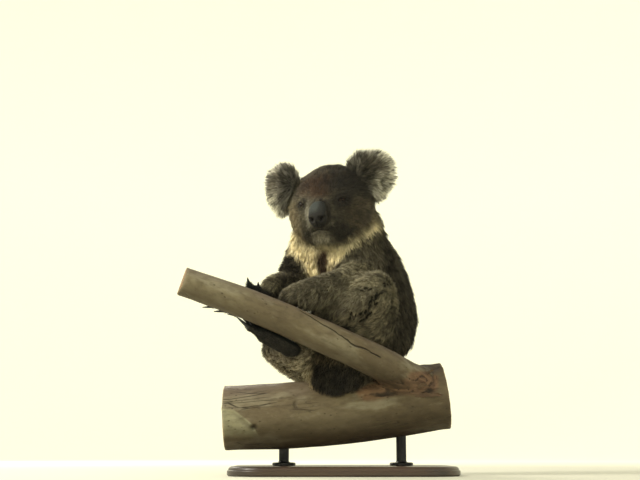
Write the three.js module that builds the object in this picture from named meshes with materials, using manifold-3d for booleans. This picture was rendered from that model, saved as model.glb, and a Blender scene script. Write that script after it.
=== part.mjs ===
// A male koala of the southern kind, life size and still. It sits on a thick limb of a gum tree,
// hugs the thinner bough that grows from the same fork, and looks round at the viewer.
// A flat base and two short rods hold the cut length of limb and bough.
//
// Millimetres, +Z up. The viewer stands at -Y, so +X is the viewer's right and the koala's left.
// Every outline of the animal is drawn out to the tips of its coat.

import * as THREE from "three";
import { mergeVertices } from "three/addons/utils/BufferGeometryUtils.js";
import { ParametricGeometry } from "three/addons/geometries/ParametricGeometry.js";
import Module from "manifold-3d";

const wasm = await Module();
wasm.setup();

// ---- Driving dimensions -------------------------------------------------------------------

const GAP = 0.35; // clear space kept between neighbours that touch
const CAP_RINGS = 2; // rings that round off each end of a loft

const BASE_CENTRE = [22, 2, 10];
const BASE_LENGTH = 400;
const BASE_DEPTH = 280;
const BASE_HEIGHT = 16;
const BASE_CORNER = 70;
const BASE_EDGE = 3;
const ROD_RADIUS = 9;
const ROD_SPREAD = 210;

const HEAD_CENTRE = [6, -14, 493];
const HEAD_TURN = 21; // degrees to the viewer's left
const HEAD_NOD = 8; // degrees down
const HEAD_TILT = 2; // degrees, the koala's left side up
const BODY_TURN = 36; // degrees to the viewer's left

const EYE_RADIUS = 9;
const EYE_PLACE = [36.5, -56, 4.5]; // in the head's own frame, the left one
const EAR_PLACE = { left: [80, -4, 57], right: [-95, -4, 54] }; // the right one is swung out
const EAR_TURN = 25; // degrees outwards
const EAR_SIZE = [45, 15, 50]; // half width, half depth, half height

const DIGIT_RADIUS = 8.5;
const CLAW_RADIUS = 3.3;

// ---- Ways of making solids ----------------------------------------------------------------

const radians = THREE.MathUtils.degToRad;
const point = ([x, y, z]) => new THREE.Vector3(x, y, z);
const UP = point([0, 0, 1]);
const FORWARD = point([-Math.sin(radians(BODY_TURN)), -Math.cos(radians(BODY_TURN)), 0]);

// A closed geometry as a solid that can be joined and cut.
function solidOf(geometry) {
  const bare = geometry.clone();
  bare.deleteAttribute("normal");
  bare.deleteAttribute("uv");
  const merged = mergeVertices(bare, 1e-3);
  const corners = merged.index.array;
  const faces = [];
  for (let i = 0; i < corners.length; i += 3) {
    const [a, b, c] = corners.slice(i, i + 3);
    if (a !== b && b !== c && c !== a) faces.push(a, b, c);
  }
  return new wasm.Manifold(
    new wasm.Mesh({
      numProp: 3,
      vertProperties: merged.attributes.position.array,
      triVerts: new Uint32Array(faces),
    }),
  );
}

const join = (solids) => solids.reduce((whole, next) => whole.add(next));

// A smooth body through oval stations [x, y, z, half width, half depth]. The half depth lies
// towards `facing`. Each end is rounded by its share of the end station's size: 0 is a flat cut.
// The rings stand square to the path, or all square to `heading`.
function loft(stations, grow, options = {}) {
  const { facing = FORWARD, heading, around = 16, rings = 12, round = [1, 1], frame } = options;
  const axis = new THREE.CatmullRomCurve3(stations.map(point));
  const sizes = new THREE.CatmullRomCurve3(stations.map((s) => point([s[3], s[4] ?? s[3], 0])));
  const surface = (u, v, target) => {
    const ring = Math.round(v * rings);
    const share = THREE.MathUtils.clamp((ring - CAP_RINGS) / (rings - 2 * CAP_RINGS), 0, 1);
    const along = heading ?? axis.getTangent(share);
    const front = facing.clone().projectOnPlane(along).normalize();
    const side = front.clone().cross(along);
    const { x: wide, y: deep } = sizes.getPoint(share);
    const beyond = Math.max(CAP_RINGS - ring, ring - rings + CAP_RINGS, 0) / CAP_RINGS;
    const bend = (beyond * Math.PI) / 2;
    const end = share < 0.5 ? 0 : 1;
    const reach = (round[end] * Math.min(wide, deep) + grow) * Math.sin(bend);
    const turn = u * 2 * Math.PI;
    target.copy(axis.getPoint(share));
    target.addScaledVector(along, end ? reach : -reach);
    target.addScaledVector(side, Math.cos(turn) * Math.cos(bend) * (wide + grow));
    target.addScaledVector(front, Math.sin(turn) * Math.cos(bend) * (deep + grow));
  };
  const geometry = new ParametricGeometry(surface, around, rings);
  return solidOf(frame ? geometry.applyMatrix4(frame) : geometry);
}

// An oval ball with its half sizes along the frame's X, Y and Z.
function ball(centre, halves, grow, frame, around = 16) {
  const geometry = new THREE.SphereGeometry(1, around, around * 0.75);
  geometry.scale(...halves.map((half) => half + grow));
  geometry.translate(...centre);
  return solidOf(frame ? geometry.applyMatrix4(frame) : geometry);
}

// ---- The object's nodes -------------------------------------------------------------------

const koala = new THREE.Group();
const taken = [];

const finish = (color, roughness, metalness = 0) =>
  new THREE.MeshStandardMaterial({ color, roughness, metalness, flatShading: true });
const GREY_FUR = finish(0x6b6452, 0.95);
const PALE_FUR = finish(0xb7a577, 0.95);
const BARK = finish(0x8b8062, 0.85);
const DARK_SKIN = finish(0x2a2927, 0.6);
const HORN = finish(0x1d2429, 0.4);
const EYE = finish(0x2b1a10, 0.1);
const DARK_TIMBER = finish(0x3a2a1f, 0.5);
const BLACK_STEEL = finish(0x1c1c1e, 0.5, 0.6);

// Adds one node. `shape(grow)` gives its solid, and whatever an earlier node has taken is cut
// away from it, with a thin gap. A sliver that the cuts leave apart from it is dropped.
function node(name, material, shape) {
  const cut = taken.reduce((rest, other) => rest.subtract(other), shape(0));
  const bodies = cut.decompose().sort((a, b) => b.volume() - a.volume());
  taken.push(shape(GAP));
  const mesh = bodies[0].getMesh();
  const geometry = new THREE.BufferGeometry();
  geometry.setAttribute("position", new THREE.BufferAttribute(mesh.vertProperties, 3));
  geometry.setIndex(new THREE.BufferAttribute(mesh.triVerts, 1));
  const part = new THREE.Mesh(geometry, material);
  part.name = name;
  koala.add(part);
}

const SIDES = { left: 1, right: -1 };

// ---- Perch --------------------------------------------------------------------------------

const LIMB = [
  [-190, 10, 110, 58],
  [-72, 10, 114, 59],
  [17, 10, 123, 60],
  [120, 10, 138, 62],
  [208, 10, 150, 60],
];
const BOUGH = [
  [-252, -156, 334, 25],
  [-210, -147, 320, 26],
  [-131, -133, 293, 27],
  [-46, -114, 259, 28],
  [39, -90, 222, 29],
  [95, -62, 200, 30],
  [145, -25, 175, 32],
  [195, 15, 150, 30],
];
const boughAxis = new THREE.CatmullRomCurve3(BOUGH.map(point));
const boughRadius = new THREE.CatmullRomCurve3(BOUGH.map((s) => point([s[3], 0, 0])));

// A place on the bough: its X, degrees round it from the top over the far side, and its height
// above the bark.
function onBough(x, angle, lift) {
  let [low, high] = [0, 1];
  while (high - low > 1e-5) {
    const middle = (low + high) / 2;
    if (boughAxis.getPoint(middle).x < x) low = middle;
    else high = middle;
  }
  const along = boughAxis.getTangent(low);
  const up = UP.clone().projectOnPlane(along).normalize();
  const far = up.clone().cross(along);
  const reach = boughRadius.getPoint(low).x + lift;
  const place = boughAxis.getPoint(low);
  place.addScaledVector(up, reach * Math.cos(radians(angle)));
  return place.addScaledVector(far, reach * Math.sin(radians(angle))).toArray();
}

node("perch_limb", BARK, (grow) =>
  loft(LIMB, grow, { facing: UP, around: 18, rings: 9, round: [0, 0] }),
);
node("perch_bough", BARK, (grow) =>
  loft(BOUGH, grow, { facing: UP, around: 12, rings: 12, round: [0, 0.3] }),
);

// ---- Head ---------------------------------------------------------------------------------

const headFrame = new THREE.Matrix4().makeRotationZ(radians(-HEAD_TURN));
headFrame.multiply(new THREE.Matrix4().makeRotationX(radians(HEAD_NOD)));
headFrame.multiply(new THREE.Matrix4().makeRotationY(radians(-HEAD_TILT)));
headFrame.setPosition(...HEAD_CENTRE);
const FACE = point([0, -1, 0]);
const headLoft = { facing: UP, heading: FACE, frame: headFrame };

// The head's own frame: X to the koala's left, -Y out of the face, Z up.
const SKULL = [
  [0, 50, 4, 50, 54],
  [0, 22, 6, 73, 76],
  [0, -8, 1, 81, 80],
  [0, -32, -6, 76, 73],
  [0, -52, -13, 60, 58],
  [0, -66, -20, 43, 42],
  [0, -78, -24, 29, 29],
];
const CHIN = [
  [0, -30, -62, 34, 18],
  [0, -58, -62, 23, 15],
];
const NOSE_PAD = [
  [0, -75, 6, 10, 8],
  [0, -81, -7, 13, 10],
  [0, -84, -22, 17, 12],
  [0, -80, -33, 16, 10],
];

for (const [name, side] of Object.entries(SIDES)) {
  const [x, y, z] = EYE_PLACE;
  node("eye_" + name, EYE, (grow) =>
    ball([side * x, y, z], [EYE_RADIUS, EYE_RADIUS, EYE_RADIUS], grow, headFrame, 8),
  );
}
node("nose", DARK_SKIN, (grow) =>
  loft(NOSE_PAD, grow, { facing: FACE, around: 10, rings: 8, round: [0.7, 0.5], frame: headFrame }),
);
node("head", GREY_FUR, (grow) =>
  join([
    loft(SKULL, grow, { ...headLoft, around: 16, rings: 12, round: [0.6, 0.35] }),
    loft(CHIN, grow, { ...headLoft, around: 8, rings: 6, round: [0.6, 0.9] }),
  ]),
);

for (const [name, side] of Object.entries(SIDES)) {
  const earFrame = headFrame.clone();
  const [wide, deep, high] = EAR_SIZE;
  earFrame.multiply(new THREE.Matrix4().makeTranslation(...EAR_PLACE[name]));
  earFrame.multiply(new THREE.Matrix4().makeRotationZ(radians(side * EAR_TURN)));
  const ear = [
    [-side * 10, 0, -high * 0.62, wide * 0.62, deep * 0.9],
    [0, 0, -high * 0.25, wide * 0.95, deep],
    [side * 3, 0, high * 0.15, wide, deep],
    [side * 2, 0, high * 0.55, wide * 0.82, deep * 0.9],
  ];
  const hollow = [wide * 0.55, deep * 0.75, high * 0.55];
  node("ear_" + name, GREY_FUR, (grow) =>
    loft(ear, grow, { facing: FACE, around: 10, rings: 7, frame: earFrame }).subtract(
      ball([0, -deep, 0], hollow, 0, earFrame, 8),
    ),
  );
}

// ---- Trunk and neck -----------------------------------------------------------------------

const TRUNK = [
  [10, -2, 163, 68, 58],
  [36, 14, 200, 86, 80],
  [60, 32, 245, 96, 92],
  [67, 44, 290, 98, 97],
  [59, 48, 340, 100, 95],
  [41, 42, 385, 103, 92],
  [22, 28, 425, 101, 87],
];
const NECK = [
  [24, 26, 418, 100, 84],
  [14, 14, 452, 94, 80],
  [14, 2, 490, 80, 70],
];
node("trunk", GREY_FUR, (grow) =>
  loft(TRUNK, grow, { heading: UP, around: 18, rings: 10, round: [0.5, 0.05] }),
);
node("neck", PALE_FUR, (grow) =>
  loft(NECK, grow, { heading: UP, around: 16, rings: 7, round: [0.1, 0.1] }),
);

// ---- Hind legs ----------------------------------------------------------------------------

const THIGH = {
  left: [
    [62, 15, 238, 56, 56],
    [70, -38, 283, 53, 56],
    [80, -78, 322, 40, 42],
  ],
  right: [
    [22, 40, 212, 66, 65],
    [-42, 28, 218, 52, 60],
    [-96, 12, 234, 33, 41],
  ],
};
const SHANK = {
  left: [
    [80, -88, 328, 38, 36],
    [42, -88, 306, 35, 33],
    [4, -80, 288, 24, 22],
  ],
  right: [
    [-96, 8, 238, 30, 30],
    [-72, -34, 230, 27, 26],
    [-46, -66, 224, 20, 20],
  ],
};
for (const name of Object.keys(SIDES)) {
  node("thigh_" + name, GREY_FUR, (grow) => loft(THIGH[name], grow, { around: 12, rings: 8 }));
}
for (const name of Object.keys(SIDES)) {
  node("shank_" + name, GREY_FUR, (grow) => loft(SHANK[name], grow, { around: 10, rings: 7 }));
}

// ---- Claws, hands and feet ----------------------------------------------------------------

// Paths over the bark as [X, degrees round the bough from its top, height above the bark].
// A hand has five clawed digits. A foot has a bare great toe first, then four clawed ones.
const GRIP = {
  hand_left: {
    pad: [
      [-76, 20, 17],
      [-84, 48, 14],
      [-90, 72, 12],
    ],
    digits: [
      { from: [-84, 46, 10], to: [-106, 60, 7], claw: [-118, 70, 2] },
      { from: [-86, 60, 10], to: [-108, 84, 7], claw: [-120, 98, 2] },
      { from: [-88, 76, 10], to: [-102, 112, 7], claw: [-110, 136, 2] },
      { from: [-84, 82, 10], to: [-86, 122, 7], claw: [-90, 146, 2] },
      { from: [-78, 76, 10], to: [-70, 112, 7], claw: [-68, 136, 2] },
    ],
  },
  hand_right: {
    pad: [
      [-114, 52, 20],
      [-130, 58, 17],
      [-148, 68, 13],
    ],
    digits: [
      { from: [-126, 44, 14], to: [-135, 20, 14], claw: [-138, 4, 16] },
      { from: [-142, 46, 14], to: [-152, 20, 15], claw: [-156, 4, 17] },
      { from: [-150, 70, 10], to: [-188, 122, 7], claw: [-207, 168, 4] },
      { from: [-146, 80, 10], to: [-169, 124, 7], claw: [-188, 172, 4] },
      { from: [-140, 90, 10], to: [-152, 126, 7], claw: [-166, 152, 2] },
    ],
  },
  foot_left: {
    pad: [
      [28, 44, 16],
      [6, 52, 15],
      [-18, 58, 12],
    ],
    digits: [
      { from: [8, 66, 12], to: [8, 108, 9] },
      { from: [-16, 46, 11], to: [-44, 36, 8], claw: [-58, 28, 2] },
      { from: [-18, 56, 11], to: [-48, 54, 8], claw: [-64, 50, 2] },
      { from: [-18, 66, 11], to: [-44, 72, 8], claw: [-60, 76, 2] },
      { from: [-16, 76, 11], to: [-36, 90, 8], claw: [-50, 100, 2] },
    ],
  },
  foot_right: {
    pad: [
      [-46, 140, 20],
      [-72, 146, 16],
      [-98, 148, 13],
    ],
    digits: [
      { from: [-70, 132, 13], to: [-66, 88, 9] },
      { from: [-96, 164, 13], to: [-126, 164, 9], claw: [-144, 158, 3] },
      { from: [-98, 154, 13], to: [-132, 150, 9], claw: [-150, 144, 3] },
      { from: [-98, 144, 13], to: [-128, 134, 9], claw: [-146, 128, 3] },
      { from: [-96, 134, 13], to: [-118, 118, 9], claw: [-134, 108, 3] },
    ],
  },
};

// A claw's path arches a little above the straight line from the digit to its tip.
function clawStations({ to, claw }) {
  const middle = to.map((value, i) => (value + claw[i]) / 2);
  middle[2] += CLAW_RADIUS * 0.8;
  return [
    [...onBough(...to), CLAW_RADIUS, CLAW_RADIUS * 1.15],
    [...onBough(...middle), CLAW_RADIUS * 0.75, CLAW_RADIUS * 0.9],
    [...onBough(...claw), 0.7, 0.7],
  ];
}

function digitStations({ from, to }) {
  const middle = from.map((value, i) => (value + to[i]) / 2);
  return [
    [...onBough(...from), DIGIT_RADIUS],
    [...onBough(...middle), DIGIT_RADIUS * 0.95],
    [...onBough(...to), DIGIT_RADIUS * 0.75],
  ];
}

for (const [name, { digits }] of Object.entries(GRIP)) {
  for (const [i, digit] of digits.entries()) {
    if (!digit.claw) continue;
    node(`claw_${name}_${i + 1}`, HORN, (grow) =>
      loft(clawStations(digit), grow, { facing: UP, around: 5, rings: 5, round: [0.4, 0.9] }),
    );
  }
}

// ---- Arms ---------------------------------------------------------------------------------

const UPPER_ARM = {
  left: [
    [88, 16, 402, 46, 44],
    [58, -26, 372, 38, 36],
    [32, -62, 346, 32, 32],
  ],
  right: [
    [-44, 66, 410, 42, 40],
    [-64, 36, 380, 34, 34],
    [-72, 4, 352, 29, 29],
  ],
};
const FOREARM = {
  left: [
    [32, -66, 344, 31, 30],
    [-20, -88, 328, 28, 32],
    [-70, -104, 315, 22, 25],
  ],
  right: [
    [-72, 0, 350, 28, 28],
    [-92, -42, 343, 25, 25],
    [-108, -80, 334, 20, 20],
  ],
};
for (const name of Object.keys(SIDES)) {
  node("upper_arm_" + name, GREY_FUR, (grow) => loft(UPPER_ARM[name], grow, { around: 10, rings: 7 }));
}
for (const name of Object.keys(SIDES)) {
  node("forearm_" + name, GREY_FUR, (grow) => loft(FOREARM[name], grow, { around: 10, rings: 7 }));
}

const PAD_SIZES = { hand: [19, 20, 20], foot: [21, 22, 21] };
for (const [name, { pad, digits }] of Object.entries(GRIP)) {
  const sizes = PAD_SIZES[name.split("_")[0]];
  const pads = pad.map((place, i) => [...onBough(...place), sizes[i], sizes[i] * 0.7]);
  node(name, DARK_SKIN, (grow) =>
    join([
      loft(pads, grow, { facing: UP, around: 8, rings: 5 }),
      ...digits.map((digit) => loft(digitStations(digit), grow, { facing: UP, around: 6, rings: 5 })),
    ]),
  );
}

// ---- Stand --------------------------------------------------------------------------------

function basePlate() {
  const [x, y] = [BASE_LENGTH / 2 - BASE_CORNER, BASE_DEPTH / 2 - BASE_CORNER];
  const radius = BASE_CORNER - BASE_EDGE;
  const outline = new THREE.Shape();
  outline.absarc(x, y, radius, 0, radians(90));
  outline.absarc(-x, y, radius, radians(90), radians(180));
  outline.absarc(-x, -y, radius, radians(180), radians(270));
  outline.absarc(x, -y, radius, radians(270), radians(360));
  const plate = new THREE.ExtrudeGeometry(outline, {
    depth: BASE_HEIGHT - 2 * BASE_EDGE,
    bevelThickness: BASE_EDGE,
    bevelSize: BASE_EDGE,
    bevelSegments: 1,
    curveSegments: 4,
  });
  return solidOf(plate.translate(BASE_CENTRE[0], BASE_CENTRE[1], BASE_CENTRE[2] + BASE_EDGE));
}
node("stand_base", DARK_TIMBER, basePlate);

const rodFoot = BASE_CENTRE[2] + BASE_HEIGHT;
const rodTop = LIMB[2][2];
for (const [name, side] of Object.entries(SIDES)) {
  const height = rodTop - rodFoot - GAP;
  const rod = new THREE.CylinderGeometry(ROD_RADIUS, ROD_RADIUS, height, 16).rotateX(Math.PI / 2);
  rod.translate(BASE_CENTRE[0] + (side * ROD_SPREAD) / 2, LIMB[0][1], rodTop - height / 2);
  node("stand_rod_" + name, BLACK_STEEL, () => solidOf(rod));
}

// The origin is the middle of the base's underside.
const bounds = new THREE.Box3().setFromObject(koala);
const centre = bounds.getCenter(new THREE.Vector3());
koala.position.set(-centre.x, -centre.y, -bounds.min.z);

export default koala;
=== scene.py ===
"""A male koala of the southern kind, life size and still, on a cut length of gum tree.

One skin covers the whole animal and lies under its coat. The coat is many small solid locks,
rooted on that skin and following the lie of the fur. Skin and coat carry the same markings,
with painted light and shade among them.
"""

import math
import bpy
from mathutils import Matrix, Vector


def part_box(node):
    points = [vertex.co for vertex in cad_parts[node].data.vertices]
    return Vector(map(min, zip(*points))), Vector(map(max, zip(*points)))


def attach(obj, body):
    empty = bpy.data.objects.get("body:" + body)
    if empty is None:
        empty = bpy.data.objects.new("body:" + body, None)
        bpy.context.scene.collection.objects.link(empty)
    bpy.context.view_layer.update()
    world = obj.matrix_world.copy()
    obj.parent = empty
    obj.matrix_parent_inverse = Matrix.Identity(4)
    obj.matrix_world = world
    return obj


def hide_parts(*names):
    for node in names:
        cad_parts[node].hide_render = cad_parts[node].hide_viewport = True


bl_info = {
    "name": "Koala on a gum tree perch",
    "version": (1, 0, 0),
    "blender": (4, 5, 0),
    "location": "3D View > Sidebar > Koala",
    "description": "Builds a life-size koala, its coat, its perch and its display stand",
    "category": "Add Mesh",
}

import bmesh
import bpy
import numpy as np
from bpy.props import FloatProperty, FloatVectorProperty, PointerProperty
from mathutils import Matrix, Vector
from mathutils.bvhtree import BVHTree
from mathutils.kdtree import KDTree

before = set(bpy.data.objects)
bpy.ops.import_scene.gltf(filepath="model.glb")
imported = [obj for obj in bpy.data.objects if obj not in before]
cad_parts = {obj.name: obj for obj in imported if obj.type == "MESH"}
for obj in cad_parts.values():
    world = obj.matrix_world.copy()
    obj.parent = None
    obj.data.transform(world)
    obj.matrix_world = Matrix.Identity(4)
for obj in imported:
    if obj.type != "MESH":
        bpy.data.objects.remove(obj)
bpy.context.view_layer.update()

MM = 0.001
SIDES = {"left": 1, "right": -1}
WORK = {}


# ---- Places, in the millimetres that the solids were planned in ----

BASE_CENTRE = (22.0, 2.0, 10.0)
base_low, base_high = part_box("stand_base")
ORIGIN = Vector(
    (
        (base_low.x + base_high.x) / 2 - BASE_CENTRE[0] * MM,
        (base_low.y + base_high.y) / 2 - BASE_CENTRE[1] * MM,
        base_low.z - BASE_CENTRE[2] * MM,
    )
)


def place(x, y, z):
    """A planned place in metres, in the frame of the solids."""
    return ORIGIN + Vector((x, y, z)) * MM


def spot_at(planned):
    """A planned place in metres, as an array."""
    return np.array(place(*planned))


def far_from(points, planned):
    """How far points are from a planned place, in metres."""
    return np.linalg.norm(points - spot_at(planned), axis=1)


def planned_of(points):
    """Places in metres, back in planned millimetres."""
    return (points - np.array(ORIGIN)) / MM


def turned(axis, degrees):
    """A turn about one axis."""
    return Matrix.Rotation(math.radians(degrees), 4, axis)


HEAD_FRAME = Matrix.Translation(place(6, -14, 493)) @ turned("Z", -21) @ turned("X", 8) @ turned("Y", -2)
BODY_TURN = math.radians(36)
BODY_FRONT = np.array((-math.sin(BODY_TURN), -math.cos(BODY_TURN), 0.0))
BODY_LEFT = np.array((math.cos(BODY_TURN), -math.sin(BODY_TURN), 0.0))
BODY_MIDDLE = spot_at((52, 34, 300))
EAR_PLACE = {"left": (80, -4, 57), "right": (-95, -4, 54)}
EAR_TURN = 25
EYE_PLACE = (36.5, -56.0, 4.5)
EYE_RADIUS = 9.0
GAZE = (0.42, -0.88, 0.16)

FLESH = ["head", "neck", "trunk", "nose", "ear_left", "ear_right"]
for limb_part in ("upper_arm", "forearm", "hand", "thigh", "shank", "foot"):
    FLESH += [limb_part + "_left", limb_part + "_right"]


def centre_of(node):
    """The middle of a solid's box."""
    low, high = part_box(node)
    return np.array((low + high) / 2)


def in_frame(points, matrix):
    """Points in a frame's own millimetres."""
    turn = np.array(matrix.to_3x3())
    return (points - np.array(matrix.translation)) @ turn / MM


def from_frame(points, matrix):
    """Points of a frame's own millimetres, back in metres."""
    turn = np.array(matrix.to_3x3())
    return (points * MM) @ turn.T + np.array(matrix.translation)


def ear_frame(side):
    """The frame of an ear: X to the koala's left, -Y out of its hollow, Z up."""
    return HEAD_FRAME @ Matrix.Translation(Vector(EAR_PLACE[side]) * MM) @ turned("Z", SIDES[side] * EAR_TURN)


# ---- Arithmetic on many points at once ----


def rise(value, low, high):
    """0 below low, 1 above high, and a smooth step between them."""
    share = np.clip((value - low) / (high - low), 0, 1)
    return share * share * (3 - 2 * share)


def fall(value, low, high):
    """1 below low, 0 above high, and a smooth step between them."""
    return 1 - rise(value, low, high)


def hill(value, middle, width):
    """1 at the middle, falling off smoothly over the width."""
    return np.exp(-(((value - middle) / width) ** 2))


def unit(vectors):
    """Vectors of length one."""
    return vectors / np.maximum(np.linalg.norm(vectors, axis=-1, keepdims=True), 1e-9)


def flat(vectors, normals):
    """Vectors laid down on the surface that has these normals, at length one."""
    return unit(vectors - (vectors * normals).sum(1, keepdims=True) * normals)


def noise(points, size, seed=0):
    """Smooth noise from -1 to 1, with features of about this size in metres."""
    cell = points / size + 31.7 + 17.31 * seed
    low = np.floor(cell).astype(np.int64)
    part = cell - low
    part = part * part * (3 - 2 * part)
    total = np.zeros(len(points))
    for corner in np.ndindex(2, 2, 2):
        key = low + np.array(corner)
        mixed = (key[:, 0] * 73856093) ^ (key[:, 1] * 19349663) ^ (key[:, 2] * 83492791)
        mixed = (mixed ^ (mixed >> 13)) * 1274126177
        value = ((mixed ^ (mixed >> 16)) & 65535) / 32767.5 - 1
        total += value * np.prod(np.where(corner, part, 1 - part), axis=1)
    return total


def spread(values, edges, steps, amount=0.5):
    """Averages values with their neighbours along the edges of a mesh, again and again."""
    values = np.asarray(values, float)
    single = values.ndim == 1
    if single:
        values = values[:, None]
    share = np.asarray(amount, float)
    if share.ndim:
        share = share[:, None]
    count = len(values)
    one, two = edges[:, 0], edges[:, 1]
    neighbours = np.maximum(np.bincount(edges.ravel(), minlength=count), 1)[:, None]
    for _ in range(steps):
        total = np.stack(
            [
                np.bincount(one, column[two], count) + np.bincount(two, column[one], count)
                for column in values.T
            ],
            axis=1,
        )
        values = values + share * (total / neighbours - values)
    return values[:, 0] if single else values


# ---- Meshes as arrays ----


def points_of(mesh):
    """A mesh's vertices."""
    found = np.empty(len(mesh.vertices) * 3, np.float32)
    mesh.vertices.foreach_get("co", found)
    return found.reshape(-1, 3).astype(float)


def faces_of(mesh):
    """A triangle mesh's faces."""
    found = np.empty(len(mesh.loops), np.int32)
    mesh.loops.foreach_get("vertex_index", found)
    return found.reshape(-1, 3)


def edges_of(mesh):
    """A mesh's edges."""
    found = np.empty(len(mesh.edges) * 2, np.int32)
    mesh.edges.foreach_get("vertices", found)
    return found.reshape(-1, 2)


def normals_of(points, faces):
    """Smooth normals at the vertices of a triangle mesh."""
    corners = points[faces]
    across = np.cross(corners[:, 1] - corners[:, 0], corners[:, 2] - corners[:, 0])
    total = np.stack(
        [sum(np.bincount(faces[:, k], across[:, axis], len(points)) for k in range(3)) for axis in range(3)],
        axis=1,
    )
    return unit(total)


def move(mesh, points):
    """Puts a mesh's vertices at these points."""
    mesh.vertices.foreach_set("co", points.astype(np.float32).ravel())
    mesh.update()


def shade_smooth(mesh):
    """Shades all of a mesh's faces smooth."""
    mesh.polygons.foreach_set("use_smooth", np.ones(len(mesh.polygons), bool))


def mesh_from(name, points, faces):
    """A mesh of triangles, shaded smooth."""
    faces = np.asarray(faces, np.int32)
    mesh = bpy.data.meshes.new(name)
    mesh.vertices.add(len(points))
    mesh.vertices.foreach_set("co", np.asarray(points, np.float32).ravel())
    mesh.loops.add(faces.size)
    mesh.loops.foreach_set("vertex_index", faces.ravel())
    mesh.polygons.add(len(faces))
    mesh.polygons.foreach_set("loop_start", np.arange(0, faces.size, 3, dtype=np.int32))
    shade_smooth(mesh)
    mesh.update(calc_edges=True)
    return mesh


def set_mask(mesh, name, values):
    """Writes one number at each vertex, for the materials to read."""
    layer = mesh.attributes.get(name) or mesh.attributes.new(name, "FLOAT", "POINT")
    layer.data.foreach_set("value", np.asarray(values, np.float32))


def set_masks(mesh, masks):
    """Writes several masks at once, from their names and values."""
    for name, values in masks.items():
        set_mask(mesh, name, values)


def linked(name, data):
    """A new object in the scene."""
    holder = bpy.data.objects.new(name, data)
    bpy.context.scene.collection.objects.link(holder)
    return holder


def show(name, mesh, material, replaced=()):
    """Adds a finished piece of the model to the scene."""
    piece = linked(name, mesh)
    piece.data.materials.append(material)
    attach(piece, "root")
    if replaced:
        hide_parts(*replaced)


def cleaned(mesh, weld=0.0):
    """Joins a mesh's vertices that are this close, and turns its faces outwards."""
    work = bmesh.new()
    work.from_mesh(mesh)
    if weld:
        bmesh.ops.remove_doubles(work, verts=work.verts, dist=weld)
    bmesh.ops.recalc_face_normals(work, faces=work.faces)
    work.to_mesh(mesh)
    work.free()


def modified(mesh, modifiers):
    """A mesh with modifiers applied: their kinds, and each one's settings."""
    holder = linked("holder", mesh)
    for kind, settings in modifiers.items():
        modifier = holder.modifiers.new(kind.title(), kind)
        for key, value in settings.items():
            setattr(modifier, key, value)
    seen = holder.evaluated_get(bpy.context.evaluated_depsgraph_get())
    made = bpy.data.meshes.new_from_object(seen)
    bpy.data.objects.remove(holder)
    bpy.data.meshes.remove(mesh)
    return made


def search_tree(spots):
    """A tree that finds the nearest of these spots."""
    tree = KDTree(len(spots))
    for index, spot in enumerate(spots):
        tree.insert(spot, index)
    tree.balance()
    return tree


def in_triangles(rng, count):
    """Random places in triangles, as the weights of each one's three corners."""
    a, b = rng.random((2, count, 1))
    over = a + b > 1
    a, b = np.where(over, 1 - a, a), np.where(over, 1 - b, b)
    return 1 - a - b, a, b


def doubled_area(corners):
    """Twice the area of each triangle, from its corners."""
    across = np.cross(corners[:, 1] - corners[:, 0], corners[:, 2] - corners[:, 0])
    return np.linalg.norm(across, axis=1)


def welded(node, grow=0.0):
    """A solid's own mesh as a bmesh, with its vertices joined and pushed out a little."""
    work = bmesh.new()
    work.from_mesh(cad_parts[node].data)
    bmesh.ops.remove_doubles(work, verts=work.verts, dist=1e-5)
    work.normal_update()
    for vertex in work.verts:
        vertex.co += vertex.normal * grow
    return work


def fused(nodes, grow, voxel):
    """One closed triangle mesh round all these solids."""
    together = bmesh.new()
    for node in nodes:
        work = welded(node, grow)
        part = bpy.data.meshes.new("part")
        work.to_mesh(part)
        work.free()
        together.from_mesh(part)
        bpy.data.meshes.remove(part)
    whole = bpy.data.meshes.new("whole")
    together.to_mesh(whole)
    together.free()
    remesh = {"mode": "VOXEL", "voxel_size": voxel}
    return modified(whole, {"REMESH": remesh, "TRIANGULATE": {"quad_method": "SHORTEST_DIAGONAL"}})


def finer(mesh, wanted, rounds=1):
    """Splits the edges where wanted(points) is true, once or a few times over."""
    for _ in range(rounds):
        inside = wanted(points_of(mesh))
        work = bmesh.new()
        work.from_mesh(mesh)
        work.edges.ensure_lookup_table()
        ends = edges_of(mesh)
        chosen = np.flatnonzero(inside[ends[:, 0]] & inside[ends[:, 1]])
        bmesh.ops.subdivide_edges(work, edges=[work.edges[i] for i in chosen], cuts=1, use_grid_fill=True)
        bmesh.ops.triangulate(work, faces=[face for face in work.faces if len(face.verts) > 3])
        work.to_mesh(mesh)
        work.free()


def largest_body(mesh):
    """Keeps only the largest connected body of a mesh, so that no loose inner shell stays."""
    work = bmesh.new()
    work.from_mesh(mesh)
    work.verts.ensure_lookup_table()
    label = np.full(len(work.verts), -1)
    count = 0
    for start in work.verts:
        if label[start.index] >= 0:
            continue
        stack = [start]
        label[start.index] = count
        while stack:
            for edge in stack.pop().link_edges:
                for vertex in edge.verts:
                    if label[vertex.index] < 0:
                        label[vertex.index] = count
                        stack.append(vertex)
        count += 1
    largest = np.bincount(label).argmax()
    bmesh.ops.delete(work, geom=[v for v in work.verts if label[v.index] != largest], context="VERTS")
    work.to_mesh(mesh)
    work.free()
    return mesh


# ---- The skin ----

SKIN_VOXEL = 0.0026
# The solids are grown by this before they are fused, so that neighbours meet.
MEETING = 0.0011
# One place to label the flesh for each of these areas, in square metres.
LABEL_AREA = 8e-6
FORM_STEPS = 44
LID_TILT = math.radians(-10)
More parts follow.
